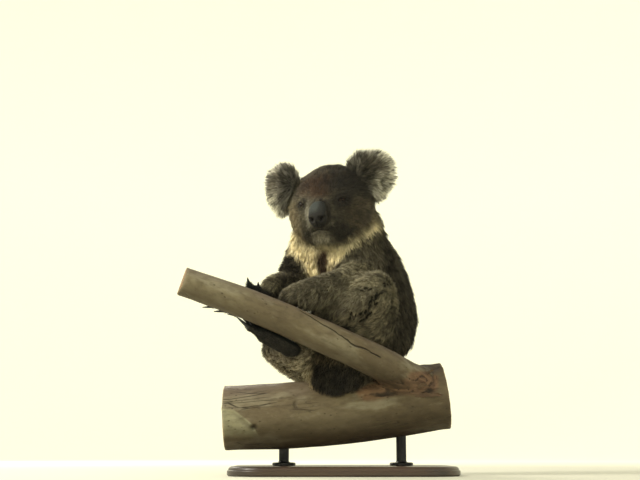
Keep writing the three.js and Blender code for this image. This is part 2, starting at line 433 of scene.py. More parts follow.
# How deep the coat is over each part, in millimetres: the skin lies this far inside the solids.
COAT_DEPTH = {
    "head": 4.2,
    "neck": 9.5,
    "trunk": 8.8,
    "nose": 0.4,
    "ear": 2.6,
    "upper_arm": 7.5,
    "forearm": 5.8,
    "hand": 1.6,
    "thigh": 7.8,
    "shank": 6.0,
    "foot": 1.6,
}
# The creases of the left haunch, where the coat parts: how wide each gapes, and places along it.
LONG_CREASE = ((90, -119, 317), (83, -119, 309), (76, -113, 297), (70, -105, 286), (61, -96, 277))
CREASES = (
    (2.1, (*LONG_CREASE, (51, -88, 271))),
    (1.5, ((81, -122, 320), (76, -120, 312), (73, -118, 302), (68, -114, 294))),
    (1.8, ((38, -111, 284), (39, -98, 273), (47, -99, 276), (52, -107, 284))),
    (1.4, ((56, -101, 280), (61, -109, 287))),
    (1.1, ((50, -118, 326), (59, -120, 327), (71, -122, 329))),
    (1.5, ((97, -116, 333), (94, -116, 339))),
    (0.9, ((105, -106, 343), (101, -110, 337))),
)
HAUNCH = (70, -100, 305)
CREASE_REACH = 0.1
PIECES_OF_CREASE = 16
# How far the coat parts on each side of a crease, in millimetres.
CREASE_WIDTH = 6


def kind_of(node):
    """A solid's name without its side."""
    return node.rsplit("_", 1)[0] if node.endswith(("_left", "_right")) else node


def nearest_flesh(points):
    """For each point, which of the flesh solids lies nearest."""
    rng = np.random.default_rng(5)
    spots, labels = [], []
    for index, node in enumerate(FLESH):
        work = welded(node)
        corners = np.array([[v.co[:] for v in face.verts] for face in work.faces])
        work.free()
        area = doubled_area(corners) / 2
        count = int(area.sum() / LABEL_AREA) + 50
        chosen = rng.choice(len(area), count, p=area / area.sum())
        _, a, b = in_triangles(rng, count)
        first, second, third = np.moveaxis(corners[chosen], 1, 0)
        spots.append(first + a * (second - first) + b * (third - first))
        labels += [index] * count
    tree = search_tree(np.concatenate(spots))
    return np.array([labels[tree.find(point)[1]] for point in points])


def shares_of(labels, edges, steps):
    """How much of each flesh solid there is at each vertex, with soft borders."""
    sharp = np.zeros((len(labels), len(FLESH)))
    sharp[np.arange(len(labels)), labels] = 1
    return spread(sharp, edges, steps)


def near_face(points):
    """True where the skin is made finer: nose, eyes and mouth."""
    x, y, z = in_frame(points, HEAD_FRAME).T
    return (y < -38) & (np.abs(x) < 58) & (z > -72) & (z < 30)


def near_features(points):
    """True where the skin is made finer again: the nose, the lids and the lips themselves."""
    x, y, z = in_frame(points, HEAD_FRAME).T
    return (y < -42) & (np.abs(x) < 52) & (z > -62) & (z < 20)


def smooth_form(points, edges, shares):
    """Rounds the flat facets of the solids."""
    names = [kind_of(node) for node in FLESH]
    amount = {"hand": 0.12, "foot": 0.12, "nose": 0.12, "ear": 0.2, "head": 0.45}
    rate = shares @ np.array([amount.get(name, 0.65) for name in names])
    return spread(points, edges, FORM_STEPS, rate)


def shrunk_ears(points, shares):
    """Draws each ear's skin in, because its fringe makes up much of the ear."""
    for side, sign in SIDES.items():
        share = shares[:, FLESH.index("ear_" + side)]
        matrix = ear_frame(side)
        local = in_frame(points, matrix)
        root = np.array((-sign * 26, 3, -26))
        away = np.clip((local - root) @ np.array((sign * 0.75, 0, 0.66)) / 30, 0, 1)
        pull = rise(share, 0.15, 0.85) * away
        small = root + (local - root) * np.array((0.76, 0.8, 0.78))
        local = local + pull[:, None] * (small - local)
        points = np.where(share[:, None] > 0.01, from_frame(local, matrix), points)
    return points


# The bare nose, from its top to its foot: height, half width, how far its front stands out.
NOSE_HEIGHTS = (-41, -38, -33, -27, -21, -14, -8, -3, 1, 4.5, 7)
NOSE_WIDTHS = (3, 11, 15.4, 17.6, 17.8, 17.0, 16.4, 15.3, 13.4, 9.6, 3.5)
NOSE_FRONTS = (-84, -88.5, -92.5, -95.5, -96.2, -95.0, -93.0, -90.6, -88.0, -85.0, -81.5)
NOSE_TOP = 7.0


def nose_at(x, z):
    """Where the front of the nose pad stands, and 0 to 1 how surely a place is on it."""
    wide = np.interp(z, NOSE_HEIGHTS, NOSE_WIDTHS)
    front = np.interp(z, NOSE_HEIGHTS, NOSE_FRONTS)
    across = np.abs(x) / np.maximum(wide, 0.5)
    stands = front + 11 * (1 - np.sqrt(np.clip(1 - across**2.6, 0, 1)))
    inside = rise(1 - across, -0.03, 0.06) * rise(z, -41, -39.5) * fall(z, NOSE_TOP - 2, NOSE_TOP - 0.4)
    return stands, inside


def sculpt_nose(local):
    """Shapes the nose pad, its nostrils, the groove under it and the mouth."""
    x, y, z = local.T
    stands, inside = nose_at(x, z)
    facing = rise(-y, 50, 60) * (np.abs(x) < 26)
    y = y + facing * inside * (stands - y)
    rim_wide = np.interp(z, NOSE_HEIGHTS, NOSE_WIDTHS) + 1.2
    rim = hill(np.abs(x), rim_wide, 1.5) * rise(z, -40, -34) * fall(z, NOSE_TOP - 6, NOSE_TOP - 1)
    y = y + facing * rim * 1.6
    side = np.abs(x)
    pit = hill(side, 7.6, 3.1) * hill(z, -26.5, 3.6)
    curl = hill(side, 12.2, 3.4) * hill(z, -24.0 + 0.3 * (side - 12), 1.7)
    y = y + facing * (6.5 * pit + 3.6 * curl)
    groove = hill(x, 0, 1.1) * rise(z, -47, -43) * fall(z, -34, -28)
    y = y + facing * 1.5 * groove
    line = -45.5 + 1.6 * hill(x, 0, 8) - 0.0045 * x**2
    mouth = hill(z, line, 1.4) * fall(side, 15, 25) * rise(-y, 48, 58)
    y = y + 3.4 * mouth
    lip = hill(z, line - 5.5, 4.5) * fall(side, 10, 22) * rise(-y, 48, 58)
    y = y - 2.6 * lip
    # Painted shade for the nostrils' hollows and the groove under the nose.
    dark = np.clip(pit * 1.3 + curl * 0.9, 0, 1) * facing
    return np.stack((x, y, z), 1), inside * facing, np.clip(dark + 0.7 * groove * facing, 0, 1), mouth


def eye_axes(sign):
    """An eye's middle, its line of sight, and the directions along and up its lids."""
    x, y, z = EYE_PLACE
    sight = unit(np.array((sign * GAZE[0], GAZE[1], GAZE[2])))
    along = unit(np.cross(sight, (0, 0, 1)) * sign * -1)
    up = unit(np.cross(along, sight))
    up = up if up[2] > 0 else -up
    slit = along * math.cos(LID_TILT) - up * math.sin(LID_TILT)
    up = unit(np.cross(slit, sight))
    return np.array((sign * x, y, z)), sight, slit, up if up[2] > 0 else -up


def lid_gap(u, v, opening):
    """How far a place lies inside the eye's opening: above 0 inside, below 0 on the lids."""
    half = opening / 2
    arch = np.clip(1 - (u / 6.0) ** 2, -1.5, 1)
    upper = half * 0.80 * arch
    lower = -half * arch
    return np.minimum(upper - v, v - lower)


def sculpt_eyes(local, opening):
    """Draws the skin over each eyeball as lids, and sinks it behind the ball in the opening."""
    bare = np.zeros(len(local))
    dark = np.zeros(len(local))
    for sign in SIDES.values():
        middle, sight, slit, up = eye_axes(sign)
        offset = local - middle
        depth = offset @ sight
        u, v = offset @ slit, offset @ up
        away = np.hypot(u, v)
        ahead = (depth > -6) & (away < 24)
        gap = lid_gap(u, v, opening)
        open_share = rise(gap, -0.35, 0.35)
        rim = hill(gap, -0.9, 0.9)
        crease = hill(gap, -3.6, 1.1) * rise(v, -2, 2)
        bag = hill(gap, -4.4, 1.3) * rise(-v, 0, 3)
        radius = EYE_RADIUS + 1.15 + 0.7 * rim - 0.9 * crease - 0.5 * bag
        radius = radius + open_share * (EYE_RADIUS - 2.6 - radius)
        lidded = middle + unit(offset) * radius[:, None]
        share = ahead * fall(away, 8.6, 15.5)
        socket = ahead * hill(away, 14.5, 5.0) * 1.3
        local = local + share[:, None] * (lidded - local) - sight * socket[:, None]
        bare = np.maximum(bare, ahead * rise(gap, -1.9, -0.8) * (away < 12))
        dark = np.maximum(dark, ahead * rise(gap, -2.8, -0.5) * (away < 12))
    return local, bare, dark


def laid_creases(points, faces):
    """The creases drawn down onto the skin: a search tree of places along them, and their widths."""
    skin = BVHTree.FromPolygons(points.tolist(), faces.tolist())
    spots, gapes = [], []
    for gape, line in CREASES:
        steps = PIECES_OF_CREASE * (len(line) - 1)
        for step in range(steps + 1):
            start = min(step // PIECES_OF_CREASE, len(line) - 2)
            spot = place(*line[start]).lerp(place(*line[start + 1]), step / PIECES_OF_CREASE - start)
            spots.append(skin.find_nearest(spot)[0])
            gapes.append(gape * (0.45 + 0.55 * math.sin(math.pi * step / steps)))
    spots = np.array(spots)
    spots = spots + 0.0011 * np.stack([noise(spots, 0.006, seed) for seed in (11, 12, 13)], 1)
    return search_tree(spots), np.array(gapes)


def crease_field(points, creases):
    """Millimetres from each point to the nearest crease, that one's width, and the way out of it."""
    tree, gapes = creases
    away, gape, out = np.full(len(points), 99.0), np.ones(len(points)), np.zeros_like(points)
    near = far_from(points, HAUNCH) < CREASE_REACH
    for index in np.flatnonzero(near):
        spot, number, distance = tree.find(points[index])
        away[index] = distance / MM
        gape[index] = gapes[number]
        out[index] = points[index] - np.array(spot)
    return away, gape, out / np.maximum(np.linalg.norm(out, axis=1, keepdims=True), 1e-6)


def along_line(points, line):
    """How far each point lies from a line through a few planned places, in millimetres."""
    planned = planned_of(points)
    nearest = np.full(len(points), 1e9)
    for one, two in zip(line, line[1:]):
        one, two = np.array(one, float), np.array(two, float)
        way = two - one
        share = np.clip((planned - one) @ way / (way @ way), 0, 1)
        nearest = np.minimum(nearest, np.linalg.norm(planned - one - share[:, None] * way, axis=1))
    return nearest


def nose_to_head(shares, away):
    """Counts the nose's part as the head's wherever away is 1."""
    given = shares[:, FLESH.index("nose")] * away
    shares = shares.copy()
    shares[:, FLESH.index("head")] += given
    shares[:, FLESH.index("nose")] -= given
    return shares


def build_skin(opening):
    """The one skin, as arrays with all that the coat needs to know of it."""
    mesh = largest_body(fused(FLESH + ["eye_left", "eye_right"], MEETING, SKIN_VOXEL))
    points, edges = points_of(mesh), edges_of(mesh)
    shares = shares_of(nearest_flesh(points), edges, 6)
    points = smooth_form(points, edges, shares)
    points = shrunk_ears(points, spread(shares, edges, 4))
    shares = spread(shares, edges, 14)
    above_nose = rise(in_frame(points, HEAD_FRAME)[:, 2], NOSE_TOP - 2, NOSE_TOP + 2)
    shares = nose_to_head(shares, above_nose)
    depth = shares @ np.array([COAT_DEPTH[kind_of(node)] for node in FLESH]) * MM
    local = in_frame(points, HEAD_FRAME)
    face = rise(-local[:, 1], 30, 62) * shares[:, FLESH.index("head")]
    depth = depth * (1 - 0.55 * np.clip(face * 1.3, 0, 1))
    points = points - normals_of(points, faces_of(mesh)) * depth[:, None]
    points = spread(points, edges, 4, 0.5)
    creases = laid_creases(points, faces_of(mesh))
    move(mesh, points)
    finer(mesh, near_face)
    finer(mesh, near_features)
    finer(mesh, lambda spots: crease_field(spots, creases)[0] < 9)
    points, edges, faces = points_of(mesh), edges_of(mesh), faces_of(mesh)
    away, gape, _ = crease_field(points, creases)
    sunk = 1.3 * gape * hill(away, 0, 1.6 * gape) + 1.2 * hill(away, 0, CREASE_WIDTH)
    points = points - normals_of(points, faces) * (sunk * MM)[:, None]
    fine = near_face(points)
    points = spread(points, edges, 6, 0.5 * fine)
    local = in_frame(points, HEAD_FRAME)
    local, nose, pits, mouth = sculpt_nose(local)
    local, bare, dark = sculpt_eyes(local, opening)
    points = np.where(fine[:, None], from_frame(local, HEAD_FRAME), points)
    nose, pits, mouth, bare, dark = (mask * fine for mask in (nose, pits, mouth, bare, dark))
    points = spread(points, edges, 2, 0.35 * fine)
    move(mesh, points)
    shares = nose_to_head(shares_of(nearest_flesh(points), edges, 16), 1 - nose)
    calm = spread(points, edges, 10, 0.6 * (crease_field(points, creases)[0] < 14))
    return {
        "mesh": mesh,
        "creases": laid_creases(points, faces),
        "points": points,
        "faces": faces,
        "edges": edges,
        "normals": normals_of(calm, faces),
        "shares": shares,
        "nose": nose,
        "pits": pits,
        "mouth": mouth,
        "lids": bare,
        "lid_dark": dark,
    }


# ---- The coat's lie, length and markings ----

CHAIN = {"upper_arm": "forearm", "forearm": "hand", "thigh": "shank", "shank": "foot"}


def lie_of(skin):
    """The way the fur lies at each vertex of the skin: nose to nape, down the body, along limbs."""
    points, normals, shares = skin["points"], skin["normals"], skin["shares"]
    total = np.zeros_like(points)
    nose_tip = from_frame(np.array((0.0, -88.0, -4.0)), HEAD_FRAME)
    down = np.array((0.0, 0.0, -1.0))
    for index, node in enumerate(FLESH):
        share = shares[:, index : index + 1]
        kind = kind_of(node)
        side = node.rsplit("_", 1)[-1]
        if kind in ("head", "nose"):
            lie = unit(points - nose_tip) + 0.25 * down
        elif kind == "ear":
            root = from_frame(np.array((-SIDES[side] * 30.0, 0.0, -28.0)), ear_frame(side))
            lie = unit(points - root) + 0.2 * down
        elif kind in ("neck", "trunk"):
            lie = down - 0.35 * BODY_FRONT * rise(points[:, 2:] - BODY_MIDDLE[2], 0.0, 0.12)
            lie = lie + 0.5 * BODY_FRONT * fall(points[:, 2:] - BODY_MIDDLE[2], -0.13, -0.07)
        elif kind in CHAIN:
            lie = unit(centre_of(CHAIN[kind] + "_" + side) - centre_of(node))
            lie = lie + (0.8 if kind == "thigh" else 0.25) * down
        else:
            claws = [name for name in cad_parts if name.startswith("claw_" + node)]
            tips = np.mean([centre_of(name) for name in claws], axis=0)
            lie = unit(tips - centre_of(node)) * np.ones_like(points)
        total += share * flat(lie * np.ones_like(points), normals)
    lie = flat(total, normals)
    for _ in range(5):
        lie = flat(spread(lie, skin["edges"], 4), normals)
    return lie


def share_of(skin, *kinds):
    """How much of these kinds of part there is at each vertex."""
    chosen = [index for index, node in enumerate(FLESH) if kind_of(node) in kinds or node in kinds]
    return skin["shares"][:, chosen].sum(1)


def markings_of(skin):
    """The koala's colours as masks from 0 to 1: what is cream, white, dark, brown, pale or tan, with painted
    light and shade laid into them.
    """
    points, normals = skin["points"], skin["normals"]
    local = in_frame(points, HEAD_FRAME)
    x, y, z = local.T
    wander = noise(points, 0.030, 1) * 5 + noise(points, 0.012, 2) * 2
    head = share_of(skin, "head", "nose")
    neck = share_of(skin, "neck")
    trunk = share_of(skin, "trunk")
    arms = share_of(skin, "upper_arm", "forearm")
    legs = share_of(skin, "thigh", "shank")
    paws = share_of(skin, "hand", "foot")
    ears = share_of(skin, "ear")

    planned = planned_of(points)
    front = normals @ BODY_FRONT
    height = planned[:, 2] + wander
    ahead = (planned - np.array((52.0, 34.0, 0.0))) @ BODY_FRONT
    across = (planned - np.array((30.0, 20.0, 0.0))) @ BODY_LEFT

    # The bib's lower edge, as heights at places across the chest.
    edge = np.interp(planned[:, 0], (-90, -40, 0, 8, 32, 67, 93), (372, 352, 376, 391, 409, 433, 470))
    bib = rise(height - edge, -4, 5) * fall(y + wander, 4, 30) * rise(-z, 18, 44)
    cream = np.clip((neck + trunk + 0.8 * head * rise(-z, 62, 80)) * bib, 0, 1) * (1 - 0.9 * arms)
    parting = (neck + trunk) * rise(-planned[:, 1], 8, 22) * rise(height, 340, 362)
    streak = parting * hill(planned[:, 0] + 0.25 * wander, -13, 8.0) * fall(planned[:, 2], 418, 434)
    warm = parting * hill(planned[:, 0] + 0.5 * wander, -16, 19) * fall(planned[:, 2], 406, 424)

    chin = head * rise(-y, 30, 50) * hill(z + 0.3 * wander, -57, 7.5) * fall(np.abs(x + 4), 12, 24)
    # Pale lips, and a painted highlight on the muzzle beside the nose, on the side toward the key lamp.
    lips_and_highlight = head * rise(-y, 62, 76) * hill(np.abs(x), 19, 5) * hill(z, -34, 9) * 0.2
    lips_and_highlight = lips_and_highlight + 0.8 * head * rise(-y, 55, 70) * hill(x, -20, 4) * hill(z, -16, 17)
    white = np.clip(0.36 * chin + 0.5 * lips_and_highlight, 0, 1)
    # Painted shade under the nose.
    below_nose = head * rise(-y, 50, 66) * hill(z, -44, 7) * fall(np.abs(x), 20, 34)
    ear_root = np.zeros(len(points))
    ear_low = np.zeros(len(points))
    ear_rim = np.zeros(len(points))
    for side, sign in SIDES.items():
        own = skin["shares"][:, FLESH.index("ear_" + side)]
        spot = in_frame(points, ear_frame(side))
        outward = np.hypot(spot[:, 0] + sign * 6, spot[:, 2] + 6)
        inside = rise(-normals @ np.array(ear_frame(side).to_3x3())[:, 1], 0.1, 0.6)
        ear_rim += own * rise(outward + 0.5 * wander, 15, 25)
        ear_low += own * inside * fall(spot[:, 2], -26, 2)
        ear_root += own * inside * fall(sign * spot[:, 0] + 0.4 * wander, -24, 2)
    top = head * rise(z, 10, 34)
    brow = head * rise(z + 1.6 * wander, 4, 34) * (1 - 0.6 * rise(z + wander, 44, 60))
    brow = brow * fall(np.abs(x + 12) + wander, 20, 50) * rise(-y, -5, 32)
    temple = head * hill(z + wander, -2, 30) * rise(np.abs(x) + wander, 50, 68)
    bridge = head * hill(np.abs(x), 0, 16) * rise(z, 5, 16) * fall(z, 34, 60) * rise(-y, 30, 55)
    cheek = head * rise(np.abs(x) + wander, 30, 56) * fall(z + wander, -2, 24) * rise(-y, -20, 10)
    # Painted shade in a ring round the nose, lighter on the side toward the key lamp.
    beside = np.abs(x) - np.interp(z, NOSE_HEIGHTS, NOSE_WIDTHS)
    nose_edge = rise(beside, -2, 0) * fall(beside, 3, 6) * rise(-y, 60, 70)
    nose_edge = nose_edge * rise(z, -46, -40) * fall(z, NOSE_TOP + 1, NOSE_TOP + 6) * (1 - skin["nose"])
    # Painted shade on the back of the head.
    head_back = head * rise(y, 5, 50) * fall(z + wander, -20, 60)
    # Painted shade under the cheeks, beside the chin.
    jowl = head * hill(np.abs(x), 33, 12) * hill(z, -50, 13) * rise(-y, 20, 45)
    # Painted shade in the hollows round the eyes.
    from_eye = np.hypot(np.abs(x) - EYE_PLACE[0], 1.3 * (z - EYE_PLACE[2]))
    socket = head * hill(from_eye, 8, 6) * rise(-y, 30, 45)

    # Painted shade: rear, flank and spine darken the body's back and sides, where they turn away from the
    # front.
    nape = rise(-front, 0.05, 0.75)
    rear = (trunk + neck) * nape * rise(ahead, -200, -10)
    flank = (trunk + neck) * rise(np.abs(across) + wander, 45, 75) * fall(ahead, 22, 48)
    spine = (trunk + neck) * rise(-front, 0.35, 0.95)
    rump = trunk * fall(height, 205, 262) * rise(-front, -0.35, 0.35)
    belly = trunk * rise(front, 0.1, 0.6) * fall(height, 330, 380)
    # Painted shade in the groin, under the bough.
    groin = belly * rise(planned[:, 0] + wander, -42, -22)
    # Painted shade on the front of the right upper arm.
    shoulder = skin["shares"][:, FLESH.index("upper_arm_right")] * rise(front, -0.3, 0.4)
    # Painted shade where the seat rests on the limb.
    ahead_of_seat = rise(-planned[:, 1], -10, 12) * rise(planned[:, 0] + 1.2 * wander, -34, -16)
    seat = (trunk + legs) * ahead_of_seat * fall(height, 196, 216)
    seat = seat * (1 - 0.3 * rise(planned[:, 0], 5, 28))
    calf = (legs + 0.6 * trunk * rise(-planned[:, 1], -10, 12)) * fall(height, 222, 240)
    calf = calf * fall(planned[:, 0] + wander, -40, -22)
    wrist = share_of(skin, "forearm_right") * rise(-planned[:, 0], 84, 102)
    # Painted light on the top of the left haunch, by the knee.
    knee = legs * rise(planned[:, 0], 45, 105) * rise(height, 275, 320)
    away, gape, _ = crease_field(points, skin["creases"])
    # Painted shade in the haunch's creases, kept as the deep mask.
    crease = fall(away - 1.2 * gape, 0.0, 1.3)
    under = legs * rise(-normals[:, 2], 0.25, 0.8)
    # The legs' own pale fur, with painted light on their upward faces and higher up, and painted shade on
    # their backs.
    legs_pale_and_lit = 0.25 + 0.45 * rise(height, 300, 340) + 0.6 * rise(normals[:, 2], 0.2, 0.9)
    legs_pale_and_lit = legs * legs_pale_and_lit * (1 - 0.6 * nape)
    upper_arm = share_of(skin, "upper_arm_left")
    # Painted shade over the face's left side, away from the key lamp.
    painted_face_shade = head * rise(x + wander, -18, 46) * rise(-y, -10, 25)
    # The dark mask: paws, ear roots, crown and chest streak are the coat's own dark colour; all the other
    # terms are painted shade.
    dark = 0.7 * rear * (1 - rump) + 0.75 * flank * (1 - 0.7 * rump) + 0.35 * spine + 0.75 * shoulder
    dark = np.clip(dark, 0, 1) * (1 - 0.5 * nape * rise(height + wander, 350, 445))
    dark = dark + 0.45 * paws + 0.3 * top + 0.55 * groin + 0.8 * ear_root + 0.6 * jowl
    # Painted shade on the lower legs.
    dark = dark + 0.25 * legs * fall(height, 285, 315) * (1 - calf) * (1 - nape)
    dark = dark + 0.8 * nose_edge * (1 - 0.8 * (x < -12)) + 0.5 * head_back
    dark = dark + 0.75 * socket + 0.75 * painted_face_shade * (1 - white) + 0.5 * streak + 0.9 * seat
    # Painted shade beside the haunch's creases.
    dark = dark + 0.25 * hill(away, 0, CREASE_WIDTH) + 0.45 * below_nose
    pale = legs_pale_and_lit + 0.6 * under + 0.4 * temple + 0.6 * cheek * (1 - painted_face_shade) + 0.15 * arms + 1.0 * upper_arm
    pale = pale + 1.1 * calf + 0.9 * wrist + 0.5 * knee
    tan = 0.6 * rump + 0.45 * cheek + 0.35 * under + 0.5 * warm + 0.4 * belly + 0.5 * calf + 0.3 * chin
    marks = {
        "cream": cream + 0.15 * belly * (1 - groin),
        "white": white + 0.5 * ear_low + 0.62 * ear_rim + 0.12 * under + 0.22 * calf,
        "dark": dark,
        "brown": 1.5 * streak + 0.9 * brow + 0.5 * bridge,
        "pale": pale,
        "tan": tan,
        "ear": ears,
        "paw": paws,
        "deep": crease,
    }
    return {name: np.clip(values, 0, 1) for name, values in marks.items()}


def painted_nose_highlight(skin):
    """Where the top of the nose is painted paler, most on the side toward the key lamp: a painted highlight.
    """
    x, _, z = in_frame(skin["points"], HEAD_FRAME).T
    painted_highlight = rise(z, -20, -5) * (1 - 0.6 * rise(z, 4, 13)) * (1 - 0.75 * rise(x - 0.2 * z, 1, 9))
    return skin["nose"] * painted_highlight


def tuft_sizes(skin):
    """Length, width and lift of the locks at each vertex, in millimetres and degrees."""
    points, normals = skin["points"], skin["normals"]
    x, y, z = in_frame(points, HEAD_FRAME).T
    size = {
        # part: length, width, steepness at the root, steepness at the tip, area for each lock
        "head": (10.5, 0.95, 38, 12, 2.05),
        "neck": (20.0, 1.20, 44, 12, 2.8),
        "trunk": (18.5, 1.45, 48, 14, 3.1),
        "nose": (5.0, 0.7, 25, 5, 1.2),
        "ear": (24.0, 1.15, 48, 30, 1.2),
        "upper_arm": (13.5, 1.25, 52, 24, 2.4),
        "forearm": (11.0, 1.15, 50, 22, 2.1),
        "hand": (6.5, 0.9, 30, 8, 1.7),
        "thigh": (12.8, 1.2, 55, 28, 2.2),
        "shank": (10.8, 1.1, 54, 26, 2.1),
        "foot": (6.5, 0.9, 30, 8, 1.7),
    }
    table = np.array([size[kind_of(node)] for node in FLESH], float)
    length, width, root, tip, area = (skin["shares"] @ table).T
    face = share_of(skin, "head", "nose") * rise(-y, 18, 60)
    centre = hill(x, 0, 40) * hill(z, -14, 52)
    short = np.clip(face * (0.35 + 0.65 * centre), 0, 1)
    length = length * (1 - 0.56 * short)
    width = width * (1 - 0.30 * short)
    area = area * (1 - 0.38 * short)
    root = root - 8 * short
    cheek = share_of(skin, "head") * rise(np.abs(x), 52, 74) * fall(z, -6, 24)
    length = length * (1 + 0.55 * cheek)
    away, _, _ = crease_field(points, skin["creases"])
    parted = hill(away, 0, CREASE_WIDTH)
    length = length * (1 - 0.5 * parted)
    root = root + 14 * parted
    tip = tip + 22 * parted
    hanging = share_of(skin, "forearm") * rise(-normals[:, 2], 0.2, 0.8)
    length = length * (1 + 1.5 * hanging)
    root = root + 22 * hanging
    tip = tip + 30 * hanging
    return length, width, root, tip, area


# ---- The coat ----

PATCH = 0.003


def perch_tree():
    """A search tree over the solid limb and bough."""
    corners, faces = [], []
    for node in ("perch_limb", "perch_bough"):
        work = welded(node)
        start = len(corners)
        corners += [vertex.co.copy() for vertex in work.verts]
        faces += [[start + vertex.index for vertex in face.verts] for face in work.faces]
        work.free()
    return BVHTree.FromPolygons(corners, faces)


def inside_perch(points, tree, reach):
    """How far each point lies above the bark, in metres: below 0 inside, and reach far off it."""
    found = np.full(len(points), reach)
    for index, point in enumerate(points):
        spot, normal, _, distance = tree.find_nearest(point, reach)
        if spot is not None:
            above = (Vector(point) - spot).dot(normal)
            found[index] = distance if above >= 0 else -distance
    return found


def bare_of(skin, tree):
    """Where no fur grows: the nose, the lids, the mouth line, the soles and the digits' tips."""
    points, normals = skin["points"], skin["normals"]
    bare = np.clip(skin["nose"] * 1.4 + skin["lids"] + 0.8 * skin["mouth"], 0, 1)
    paws = share_of(skin, "hand", "foot")
    sole = np.zeros(len(points))
    tips = np.zeros(len(points))
    claws = np.array([centre_of(name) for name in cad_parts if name.startswith("claw_")])
    for index in np.flatnonzero(paws > 0.3):
        spot, _, _, _ = tree.find_nearest(points[index], 0.08)
        if spot is not None:
            toward = unit(np.array(spot) - points[index])
            sole[index] = toward @ normals[index]
        tips[index] = np.linalg.norm(claws - points[index], axis=1).min()
    sole = rise(sole, 0.35, 0.75) * rise(paws, 0.4, 0.7)
    tips = fall(tips, 0.010, 0.014) * rise(paws, 0.4, 0.7)
    skin["pads"] = spread(np.clip(sole + tips, 0, 1), skin["edges"], 2)
    return np.clip(bare + skin["pads"], 0, 1)


def rooted(skin, fields, area, bare, rng, thinning):
    """Scatters roots over the skin and reads every field there."""
    points, faces = skin["points"], skin["faces"]
    corners = points[faces]
    size = doubled_area(corners) / 2
    wanted = size / (area[faces].mean(1) * MM * MM) * thinning * (bare[faces].mean(1) < 0.45)
    count = np.floor(wanted + rng.random(len(faces))).astype(int)
    chosen = np.repeat(np.arange(len(faces)), count)
    weights = in_triangles(rng, len(chosen))

    def read(values):
        values = values if values.ndim > 1 else values[:, None]
        found = sum(weight * values[faces[chosen, k]] for k, weight in enumerate(weights))
        return found[:, 0] if found.shape[1] == 1 else found

    return {name: read(values) for name, values in fields.items()}


def ear_ways(roots, shares):
    """For the locks on the ears: the way outwards from the ear's root, and how much it counts."""
    way = np.zeros_like(roots)
    weight = np.zeros(len(roots))
    for side, sign in SIDES.items():
        own = shares[:, FLESH.index("ear_" + side)]
        matrix = ear_frame(side)
        spot = in_frame(roots, matrix)
        out = spot - np.array((-sign * 22.0, 6.0, -20.0))
        out[:, 1] = out[:, 1] * 0.6 - 3.0
        out[:, 2] = out[:, 2] - 6.0 - 9.0 * fall(spot[:, 2], -20, 22)
        out[:, 0] = out[:, 0] + sign * 5.0
        way += own[:, None] * (unit(out) @ np.array(matrix.to_3x3()).T)
        rim = rise(np.hypot(spot[:, 0] + sign * 6, spot[:, 2] + 4), 6, 24)
        weight += rise(own, 0.3, 0.8) * (0.45 + 0.5 * rim)
    return unit(way), weight


def lock_mesh(name, paths, sides, widths, masks, corner, bends):
    """Solid, pointed, three-sided locks along these paths, with their map patches."""
    count, joints = paths.shape[:2]
    rings = joints - 1
    each = 3 * rings + 1
    points = np.empty((count, each, 3))
    along = np.empty((count, each))
    steps = np.diff(paths, axis=1)
    for ring in range(rings):
        heading = unit(steps[:, ring] + (steps[:, ring - 1] if ring else 0))
        up = unit(np.cross(heading, sides))
        for turn in range(3):
            angle = math.radians(90 + 120 * turn)
            reach = widths[:, None] * bends[ring] / 2
            offset = reach * (math.cos(angle) * sides + 0.55 * math.sin(angle) * up)
            points[:, 3 * ring + turn] = paths[:, ring] + offset
        along[:, 3 * ring : 3 * ring + 3] = ring / rings
    points[:, -1] = paths[:, -1]
    along[:, -1] = 1
    pattern = [(0, 2, 1)]
    for ring in range(rings - 1):
        for turn in range(3):
            a, b = 3 * ring + turn, 3 * ring + (turn + 1) % 3
            pattern += [(a, b, b + 3), (a, b + 3, a + 3)]
    last = 3 * (rings - 1)
    pattern += [(last + turn, last + (turn + 1) % 3, each - 1) for turn in range(3)]
    pattern = np.array(pattern)
    faces = (np.arange(count)[:, None, None] * each + pattern).reshape(-1, 3)
    mesh = mesh_from(name, points.reshape(-1, 3), faces)
    set_mask(mesh, "along", along.ravel())
    for mask, values in masks.items():
        set_mask(mesh, mask, np.repeat(values, each))
    local = np.empty((each, 2))
    for ring in range(rings):
        local[3 * ring : 3 * ring + 3, 0] = (0.5, 0.0, 1.0)
        local[3 * ring : 3 * ring + 3, 1] = ring / rings
    local[-1] = (0.5, 1.0)
    spots = corner[:, None, None] + PATCH * local[pattern].reshape(1, len(pattern), 3, 2)
    layer = mesh.uv_layers.new(name="OFBake")
    layer.data.foreach_set("uv", spots.astype(np.float32).ravel())
    return mesh


def unwrapped(roots, normals, turn):
    """Each root's place on a flat map of the piece of skin, laid out as its six sides."""
    local = (roots - roots.mean(0)) @ turn
    facing = normals @ turn
    axis = np.abs(facing).argmax(1)
    sign = facing[np.arange(len(roots)), axis] > 0
    spot = np.empty((len(roots), 2))
    for way, (first, second) in enumerate(((1, 2), (0, 2), (0, 1))):
        chosen = axis == way
        spot[chosen] = local[chosen][:, (first, second)]
    side = axis * 2 + sign
    cell = np.array((1 / 3, 1 / 2))
    margin = 0.008
    low = np.array([spot[side == k].min(0) if (side == k).any() else (0, 0) for k in range(6)])
    high = np.array([spot[side == k].max(0) if (side == k).any() else (0, 0) for k in range(6)])
    room = cell - 2 * margin - PATCH
    scale = (room / np.maximum((high - low).max(0), 1e-6)).min()
    corner = np.stack((side % 3, side // 3), 1) * cell + margin
    return corner + (spot - low[side]) * scale


